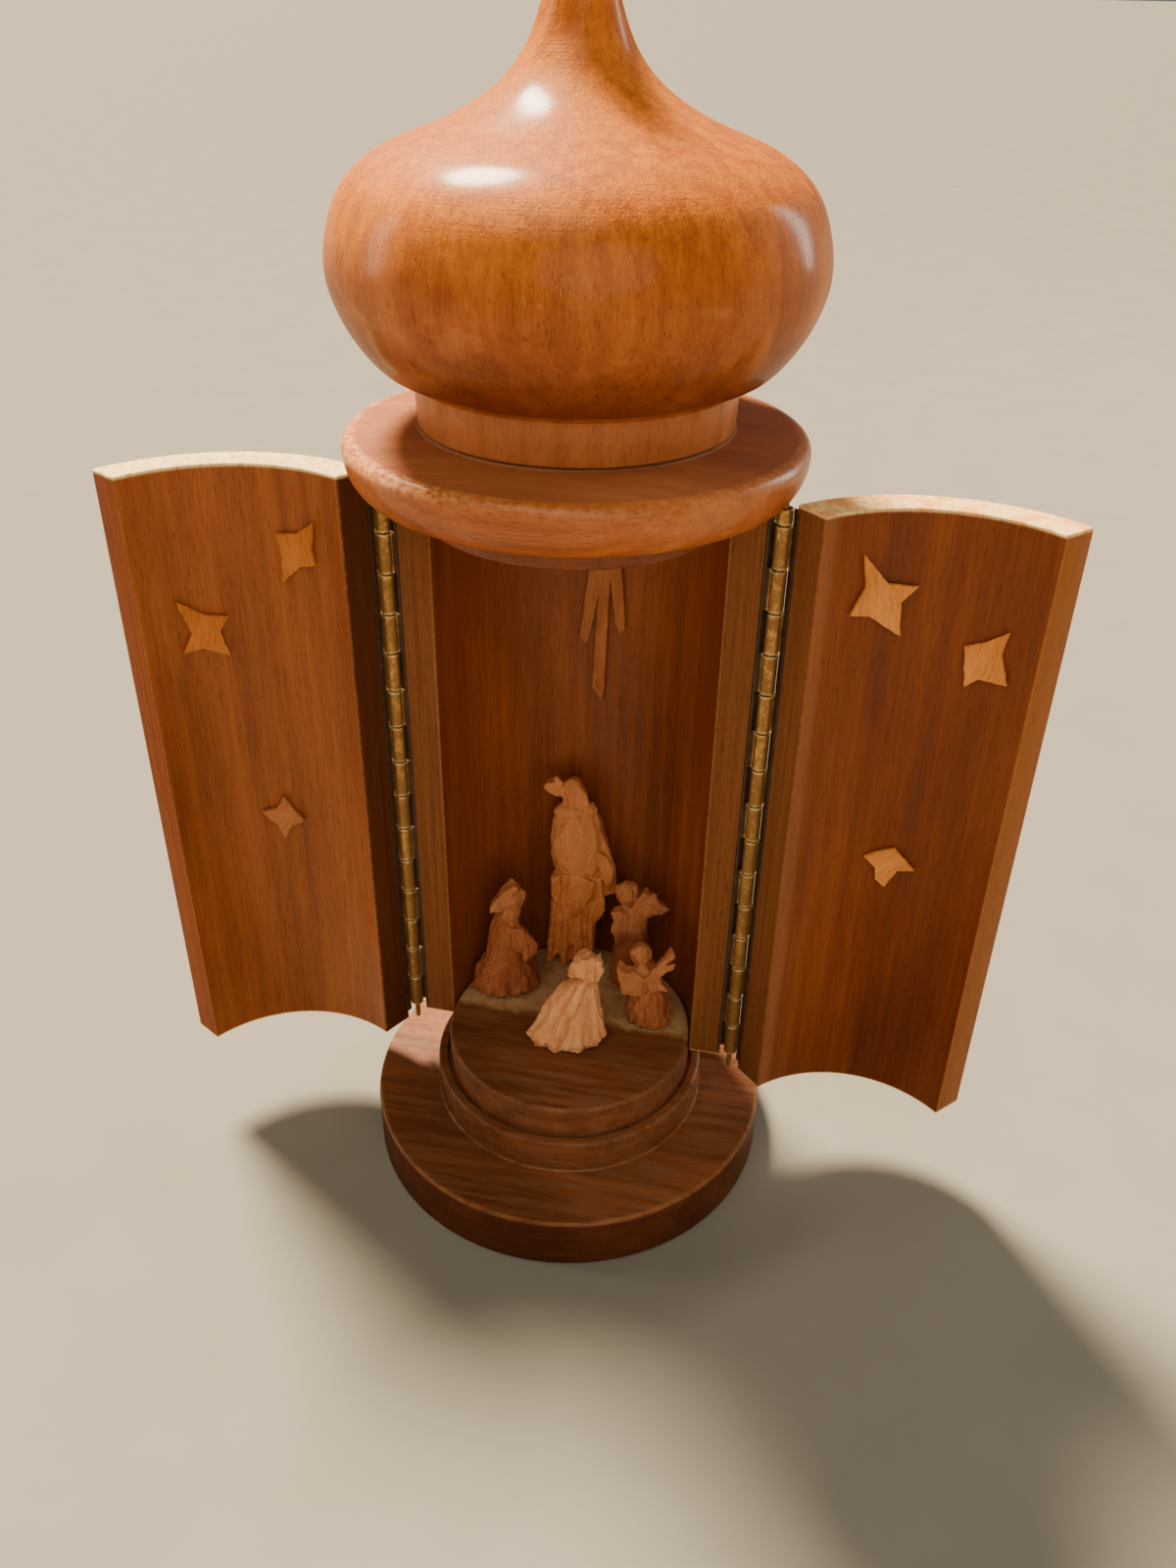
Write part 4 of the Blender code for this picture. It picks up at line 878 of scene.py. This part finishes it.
def sliver(bm, outline, front, back):
    """Flat-cut piece such as a sleeve, seen from the front as its outline, thinner behind."""
    part = bmesh.new()
    face = part.faces.new([part.verts.new((right, front, up)) for right, up in outline])
    moved = drawn_out(part, face, (0.0, back - front, 0.0))
    middle = sum((vert.co for vert in moved), Vector()) / len(moved)
    for vert in moved:
        vert.co.x = middle.x + (vert.co.x - middle.x) * TAPER
    join(bm, part)


def join(bm, part):
    """Put a closed part into the figure's mesh and free it."""
    bmesh.ops.recalc_face_normals(part, faces=part.faces)
    mesh = bpy.data.meshes.new("part")
    part.to_mesh(mesh)
    part.free()
    bm.from_mesh(mesh)
    bpy.data.meshes.remove(mesh)


def fold(bm, top, foot, top_radius, foot_radius, flat):
    """A long tapered ridge of cloth between two points, flatter than it is wide."""
    part = bmesh.new()
    line = Vector(foot) - Vector(top)
    made = bmesh.ops.create_cone(part, cap_ends=True, segments=7, radius1=top_radius, radius2=foot_radius,
                                 depth=line.length)["verts"]
    bmesh.ops.scale(part, vec=(1.0, flat, 1.0), verts=made)
    turn = line.to_track_quat("Z", "Y").to_matrix()
    bmesh.ops.rotate(part, cent=(0.0, 0.0, 0.0), matrix=turn, verts=made)
    bmesh.ops.translate(part, vec=(Vector(top) + Vector(foot)) / 2, verts=made)
    join(bm, part)


def splinters(bm, spots, length, width, seed):
    """Thin pointed splinters at these spots (right, front, up), leaning out and down."""
    dice = random.Random(seed)
    for right, front, up in spots:
        part = bmesh.new()
        made = bmesh.ops.create_cone(part, cap_ends=True, segments=5, radius1=width, radius2=width * 0.25,
                                     depth=length * dice.uniform(0.7, 1.3))["verts"]
        bmesh.ops.scale(part, vec=(1.0, 0.6, 1.0), verts=made)
        outward = math.atan2(right, -front)
        swing(part, made, math.radians(180.0 - dice.uniform(12.0, 35.0)), "X")
        swing(part, made, outward + dice.uniform(-0.3, 0.3))
        bmesh.ops.translate(part, vec=(right, front, up), verts=made)
        join(bm, part)


def eased(bm, times):
    """Smooth a mesh this many times."""
    for i in range(times):
        bmesh.ops.smooth_vert(bm, verts=bm.verts, factor=0.5, use_axis_x=True, use_axis_y=True,
                              use_axis_z=True)
    bm.normal_update()


def unevenness(spot, across, along, move):
    """Soft noise at a point, at these rates across the stick and along it."""
    return noise.noise(Vector((across * spot.x, across * spot.y, along * spot.z)) + Vector((move,) * 3))


def squat(spot):
    """The point that stands for a spot when its nearest knife cut is looked for."""
    return Vector((spot.x, spot.y, FACET_STRETCH * spot.z))


def carve(name, bm, place, height, seed, cuts, flutes, grid):
    """Fuse the parts of a figure, cut facets all over it and raise the fibres. Flutes are
    their number round the robe, their depth at the foot and the height where they end."""
    share = height / 100.0
    bmesh.ops.scale(bm, vec=(share,) * 3, verts=bm.verts)
    mesh = bpy.data.meshes.new(name)
    bm.to_mesh(mesh)
    bm.free()
    rough = bpy.data.objects.new(name, mesh)
    bpy.context.scene.collection.objects.link(rough)
    fuse = rough.modifiers.new("fuse", "REMESH")
    fuse.mode = "VOXEL"
    fuse.voxel_size = grid
    fused = bpy.data.meshes.new_from_object(rough.evaluated_get(bpy.context.evaluated_depsgraph_get()))
    bpy.data.objects.remove(rough, do_unlink=True)
    dice = random.Random(seed)
    bm = bmesh.new()
    bm.from_mesh(fused)
    stick_place = bm.verts.layers.float_vector.new("stick_place")
    eased(bm, SOFTENING)
    verts = bm.verts[:]
    seeds = [dice.choice(verts) for i in range(cuts)]
    planes = [(vert.co.copy(), vert.normal.copy()) for vert in seeds]
    tree = kdtree.KDTree(cuts)
    for i, plane in enumerate(planes):
        tree.insert(squat(plane[0]), i)
    tree.balance()
    count, depth, top = flutes
    moves = []
    for vert in verts:
        spot, normal = vert.co, vert.normal
        plane_spot, plane_normal = planes[tree.find(squat(spot))[1]]
        facing = max(STEEPEST, normal.dot(plane_normal))
        move = (plane_spot - spot).dot(plane_normal) / facing
        move = max(FACET_LIMITS[0], min(FACET_LIMITS[1], move)) * FACET_DEPTH
        move += WAVER * unevenness(spot, 0.9, 0.35, seed + 9)
        if count and spot.z < top:
            wander = 2.2 * noise.noise(Vector((0.4 * spot.z, seed, 0)))
            wave = math.sin(count * math.atan2(spot.y, spot.x) + wander)
            move -= depth * (1.0 - spot.z / top) * (0.5 + 0.5 * wave) ** 2 * (1.0 - abs(normal.z))
        moves.append(normal * move)
    for vert, move in zip(verts, moves):
        vert.co += move
    eased(bm, SMOOTHING)
    for vert in verts:
        spot = vert.co
        fibre = unevenness(spot, 2.4, 0.5, seed)
        torn = unevenness(spot, 1.6, 1.1, seed + 5)
        vert.co = spot + vert.normal * (FIBRE * fibre + TORN * max(torn, 0.0))
        vert.co.z = max(vert.co.z, 0.0)
        vert[stick_place] = vert.co.copy()
    bmesh.ops.transform(bm, matrix=Matrix.Scale(MM, 4), verts=verts)
    bmesh.ops.transform(bm, matrix=place, verts=verts)
    bpy.data.meshes.remove(fused)
    bpy.data.meshes.remove(mesh)
    return finished_piece(name, bm, CARVED_SHARP)


def standing_at(angle, from_wall, turn):
    """Place of a figure at this angle round the axis and this distance from the wall."""
    along = math.radians(angle)
    reach = BORE_RADIUS - from_wall
    foot = Vector((reach * math.cos(along), reach * math.sin(along), FIGURE_FOOT)) * MM
    return Matrix.Translation(foot) @ Matrix.Rotation(math.radians(turn), 4, "Z")


def figure_finish(name, move, tones, lit_above):
    """Raw wood: fibres along the stick, paler torn spots, darker end grain in the cuts, and painted light
    that makes it paler above the given height.
    """
    material, place = new_finish(name, "stick_place")
    shade = place.speckle((3.5, 3.5, 9.0), move, 3.0, 0.6)
    fibres = place.speckle((0.16, 0.16, 2.6), move + 15.0, 3.0, 0.65)
    colour = (shade * 0.55 + fibres * 0.45).ramp(tones)
    up = place.axes()[2]
    # Paler above the given height: painted light from above.
    lit_from_above = (up + 3.0 * shade).ease(lit_above, lit_above + 3.0)
    colour = colour.tint(lit_from_above * 0.42, (0.62, 0.255, 0.090))
    torn = place.speckle((0.5, 0.5, 1.6), move + 27.0, 3.0, 0.6)
    colour = colour.tint(torn.ease(0.54, 0.76) * 0.26, (0.80, 0.400, 0.150))
    colour = colour.tint(torn.ease(0.40, 0.30) * 0.40, (0.22, 0.055, 0.010))
    set_finish(material, colour, 0.60 + fibres * 0.2, fibres * 1.3 + torn * 0.8, 0.00008)
    return material


def whittled(node, bm, place, height, seed, cuts, wood, flutes=NO_FLUTES, grid=GRID):
    """Carve a figure from its parts and give it its raw wood."""
    piece = carve(node + "_carving", bm, place, height, seed, cuts, flutes, grid)
    dress(piece, figure_finish(*wood), "shrine", node)


TAN_STICK = ((0.30, (0.34, 0.090, 0.020)), (0.46, (0.52, 0.155, 0.040)), (0.70, (0.72, 0.275, 0.095)))
PALE_STICK = ((0.30, (0.54, 0.195, 0.060)), (0.46, (0.77, 0.325, 0.125)), (0.70, (0.97, 0.510, 0.245)))
ROSY_STICK = ((0.30, (0.21, 0.050, 0.015)), (0.46, (0.34, 0.092, 0.030)), (0.70, (0.55, 0.185, 0.072)))
DUSKY_STICK = ((0.30, (0.165, 0.039, 0.012)), (0.46, (0.285, 0.075, 0.024)), (0.70, (0.46, 0.150, 0.057)))

bm = stick(((0, -9, 7, -5, 4), (5, -12, 8.5, -6, 4), (12, -14.4, 9, -6.5, 4), (24, -14, 9, -7, 5),
            (31, -13.4, 10, -7.4, 5), (38, -12.8, 10.5, -7.4, 5), (49, -12, 11, -8, 6),
            (51, -10.8, 10, -6.9, 6), (53, -11.5, 10.5, -8, 6), (60, -12.5, 11, -9.0, 6),
            (70, -13, 11, -8.6, 6), (78, -12, 9.5, -7.4, 6), (84, -10, 8, -5, 5), (86, -8, 6, -4, 4)), 3)
chunk(bm, (-3, -0.5, 92), (5.6, 4.6, 8), 22, 5, 4.0)
chunk(bm, (-2, -1.0, 84), (10.0, 5.2, 4.5), 22, 6)
sliver(bm, ((-8, 91), (-14, 94), (-16, 96), (-15, 98), (-11, 99), (-11, 102), (-8, 99)), -2.3, 2.2)
sliver(bm, ((0, 97), (3, 93), (4, 89), (2, 87), (-1, 86)), -4.3, 1.7)
sliver(bm, ((5, 84), (9, 77), (13, 65), (16, 55), (18, 44), (17, 40), (10, 38), (6, 49)), -3.4, 3.6)
sliver(bm, ((-12.4, 51.5), (-8.2, 52), (-7.4, 47), (-8.2, 41), (-10.5, 37), (-12.6, 42)), -7.9, -2.0)
sliver(bm, ((-4.8, 52), (3, 51.5), (7, 49), (6, 42), (2, 33), (-2, 30), (-6.2, 40)), -8.1, -2.0)
sliver(bm, ((9, 64), (12.5, 62), (15.5, 55), (15, 48), (12.5, 46), (10, 52), (8.5, 57)), -6.2, -1.0)
sliver(bm, ((6, 51), (10.2, 51), (12.4, 33), (10, 28), (7.5, 24), (4, 30)), -6.6, 2.0)
for right, top, lean, forward in ((-10.5, 40, -2.5, -4.4), (-5.5, 38, -1.5, -5.9), (0, 40, 0, -6.2),
                                  (5, 38, 1, -5.4)):
    fold(bm, (right, -5.6, top), (right + lean, forward, 2), 1.6, 3.4, 0.6)
splinters(bm, ((7, -5, 4), (3, -5, 3), (-4, -5, 3), (-10, -4, 4)), 4.0, 1.2, 8)
whittled("tall_standing_figure", bm, standing_at(97.8, 4.1, 11.7), 44.5, 17, 130,
         ("tall_figure_wood", 3.0, TAN_STICK, 22.0), (9, 0.5, 21.0))

bm = stick(((0, -27, 26, -19, 17), (7, -27, 26, -19, 17), (13, -26, 25, -18, 16), (22, -24, 22, -16, 15),
            (29, -16, 16, -13, 13), (37, -15, 13, -11, 12), (51, -13, 11, -10, 11), (63, -10, 11, -9, 10),
            (71, -7, 11, -8, 10), (76, -3, 9, -6, 8)), 4, 20, 0.16)
chunk(bm, (5, 0, 83), (9, 8.5, 11), 20, 7, 12.0)
chunk(bm, (17, -9, 42), (6, 6, 7), 14, 9)
sliver(bm, ((-12, 74), (-12, 78), (-2, 91), (7, 98), (10, 95), (2, 85), (-4, 75)), -8, 4)
sliver(bm, ((3, 62), (12, 60), (22, 48), (23, 40), (15, 35), (4, 40)), -12, -4)
sliver(bm, ((12, 44), (15, 50), (17, 49), (16, 38), (14, 34), (12, 36)), -17, -8)
for right, forward in ((-24, -6), (-15, -14), (-5, -17), (6, -17), (15, -13), (22, -6)):
    fold(bm, (0.45 * right + 1, 0.5 * forward, 34), (right, forward, 3), 3.0, 4.6, 0.75)
whittled("left_kneeling_figure", bm, standing_at(151.6, 6.95, 15.8), 26.7, 23, 120,
         ("left_figure_wood", 13.0, DUSKY_STICK, 18.0), (9, 0.4, 9.0))

bm = stick(((0, -45, 34, -36, 18), (5, -44, 34, -35, 18), (10, -42, 34, -33, 18), (26, -34, 32, -27, 17),
            (41, -26, 29, -22, 16), (54, -15, 26, -17, 15), (63, -3, 25, -13, 13), (72, 6, 21, -8, 9)),
           6, 20, 0.16)
chunk(bm, (14, -1, 84), (15, 15, 15), 24, 11)
chunk(bm, (1, -2, 78), (6, 6, 6), 12, 13)
sliver(bm, ((3, 84), (-3, 90), (-1, 96), (5, 94), (8, 101), (14, 98), (20, 101), (22, 94), (12, 86)), -11, 2)
sliver(bm, ((22, 95), (28, 97), (27, 90), (31, 86), (28, 78), (25, 70), (19, 76)), -10, 4)
fold(bm, (11, -10, 70), (-15, -32, 20), 5.0, 7.5, 0.9)
for lean in range(-78, 79, 19):
    out, ahead = math.sin(math.radians(lean)), math.cos(math.radians(lean))
    fold(bm, (11 + 6 * out, -5, 62), (37 * out - 6, -24 * ahead - 9, 6), 3.0, 6.2, 0.75)
chunk(bm, (9, -12, 69), (6, 4, 4), 10, 19)
front_place = Matrix.Translation((0.0009, -0.0024, MM * FIGURE_FOOT))
front_place = front_place @ Matrix.Rotation(math.radians(12.0), 4, "Z")
whittled("front_figure", bm, front_place, 19.5, 29, 90,
         ("front_figure_wood", 23.0, PALE_STICK, 40.0), grid=FINE_GRID)

bm = stick(((0, -20, 13, -13, 13), (15, -19, 13, -13, 12), (30, -18, 12, -12, 12), (45, -16, 10, -11, 11),
            (59, -16, 9, -11, 11), (70, -14, 9, -10, 10), (79, -11, 0, -7, 8)), 8)
chunk(bm, (-8, 0, 89), (9, 8, 10.5), 20, 15, -6.0)
sliver(bm, ((-4, 78), (1, 88), (6, 94), (10, 89), (15, 91), (17, 84), (26, 78), (19, 73), (11, 70), (6, 65),
            (-4, 62)), -6, 3)
sliver(bm, ((0, 76), (7, 84), (13, 82), (18, 77), (9, 72), (4, 66)), -8.5, -4)
sliver(bm, ((-6, 76), (-13, 79), (-19, 77), (-17, 69), (-20, 61), (-16, 55), (-15, 46), (-9, 49),
            (-7, 56)), -12, -3)
whittled("right_back_figure", bm, standing_at(54.7, 6.35, 8.4), 25.6, 31, 110,
         ("right_back_figure_wood", 33.0, DUSKY_STICK, 14.0), (7, 0.4, 12.0))

bm = stick(((0, -24, 22, -19, 16), (8, -28, 21, -18, 16), (22, -29, 20, -17, 15), (38, -26, 17, -15, 14),
            (47, -23, 13, -13, 13), (63, -23, 7, -14, 13), (73, -20, 2, -12, 12), (78, -17, -9, -8, 8)),
           10, 18, 0.18)
chunk(bm, (-14, 0, 87), (11, 10, 11.5), 18, 17)
sliver(bm, ((-10, 68), (-18, 74), (-27, 72), (-38, 79), (-35, 66), (-33, 57), (-31, 46), (-20, 44),
            (-10, 42)), -17, -3)
sliver(bm, ((-10, 64), (-4, 75), (3, 83), (12, 93), (19, 102), (21, 97), (14, 89), (10, 84), (22, 88),
            (20, 81), (12, 76), (6, 69), (8, 60), (16, 52), (4, 53), (-2, 46)), -16, -5)
for right, forward in ((-20, -8), (-12, -14), (-3, -16), (6, -15), (14, -10)):
    fold(bm, (0.7 * right - 2, 0.8 * forward, 44), (right, forward, 3), 3.4, 4.6, 0.75)
whittled("right_front_figure", bm, standing_at(15.1, 7.85, 7.2), 19.0, 37, 80,
         ("right_front_figure_wood", 43.0, ROSY_STICK, 8.5), grid=FINE_GRID)


# Floor, light and camera: a plain pale floor, one soft sun from the upper left and slightly
# behind as in the photograph, four soft fills and a weak even light from all round, and the
# photograph's viewpoint.

FLOOR_SIZE = 60.0               # in metres, so that its edge lies far off
MIDDLE = Vector((0.0, 0.0, 0.12))
FOCAL = 1295.57                 # in pixels of the photograph
PHOTO_HEIGHT = 1600.0           # in the same pixels
SENSOR = 36.0                   # height of the picture in the camera, in millimetres
VIEWPOINT = Vector((0.03956, -0.18454, 0.19914))
LOOKED_AT = Vector((0.00274, 0.0, 0.08060))
TILT = 1.104                    # turn of the camera about its line of sight, in degrees

bm = bmesh.new()
bmesh.ops.create_grid(bm, x_segments=1, y_segments=1, size=FLOOR_SIZE)
floor = finished_piece("pale_floor", bm)
floor_paint, place = new_finish("pale_floor_paint")
mottle = place.speckle(30.0, 0.0, 4.0, 0.6)
colour = mottle.between((0.208, 0.190, 0.151), (0.258, 0.236, 0.190))
set_finish(floor_paint, colour, 0.85, mottle, 0.0001)
floor.data.materials.append(floor_paint)


def hung_light(name, kind, power, colour, place, beam):
    """A light at this place that shines along the beam."""
    lamp = bpy.data.lights.new(name, kind)
    lamp.energy = power
    lamp.color = colour
    light = bpy.data.objects.new(name, lamp)
    light.location = place
    light.rotation_euler = Vector(beam).to_track_quat("-Z", "Y").to_euler()
    bpy.context.scene.collection.objects.link(light)
    return lamp


for name, place, size, power, colour in (
        ("top_fill", (-0.12, -0.52, 1.05), (0.9, 0.7), 3.4, (1.0, 0.88, 0.70)),
        ("front_fill", (0.34, -0.92, 0.56), (1.0, 0.7), 3.2, (1.0, 0.90, 0.76)),
        ("left_fill", (-0.90, -0.05, 0.40), (0.20, 0.55), 2.6, (1.0, 0.88, 0.72)),
        ("right_fill", (0.70, 0.62, 0.42), (0.16, 0.60), 4.0, (1.0, 0.93, 0.84))):
    panel = hung_light(name, "AREA", power, colour, place, MIDDLE - Vector(place))
    panel.shape = "ELLIPSE"
    panel.size, panel.size_y = size
sun = hung_light("key", "SUN", 16.0, (1.0, 0.84, 0.62), (0.0, 0.0, 0.0), (0.36, -0.34, -0.74))
sun.angle = math.radians(15.0)

world = bpy.data.worlds.new("studio")
world.use_nodes = True
world.node_tree.nodes["Background"].inputs["Color"].default_value = (0.84, 0.80, 0.74, 1.0)
world.node_tree.nodes["Background"].inputs["Strength"].default_value = 0.20
bpy.context.scene.world = world

lens = bpy.data.cameras.new("camera")
lens.sensor_fit = "VERTICAL"
lens.sensor_height = SENSOR
lens.lens = SENSOR * FOCAL / PHOTO_HEIGHT
lens.clip_start = 0.005
camera = bpy.data.objects.new("camera", lens)
camera.location = VIEWPOINT
looking = (LOOKED_AT - VIEWPOINT).to_track_quat("-Z", "Y").to_matrix()
camera.rotation_euler = (looking @ Matrix.Rotation(math.radians(TILT), 3, "Z")).to_euler()
bpy.context.scene.collection.objects.link(camera)
bpy.context.scene.camera = camera
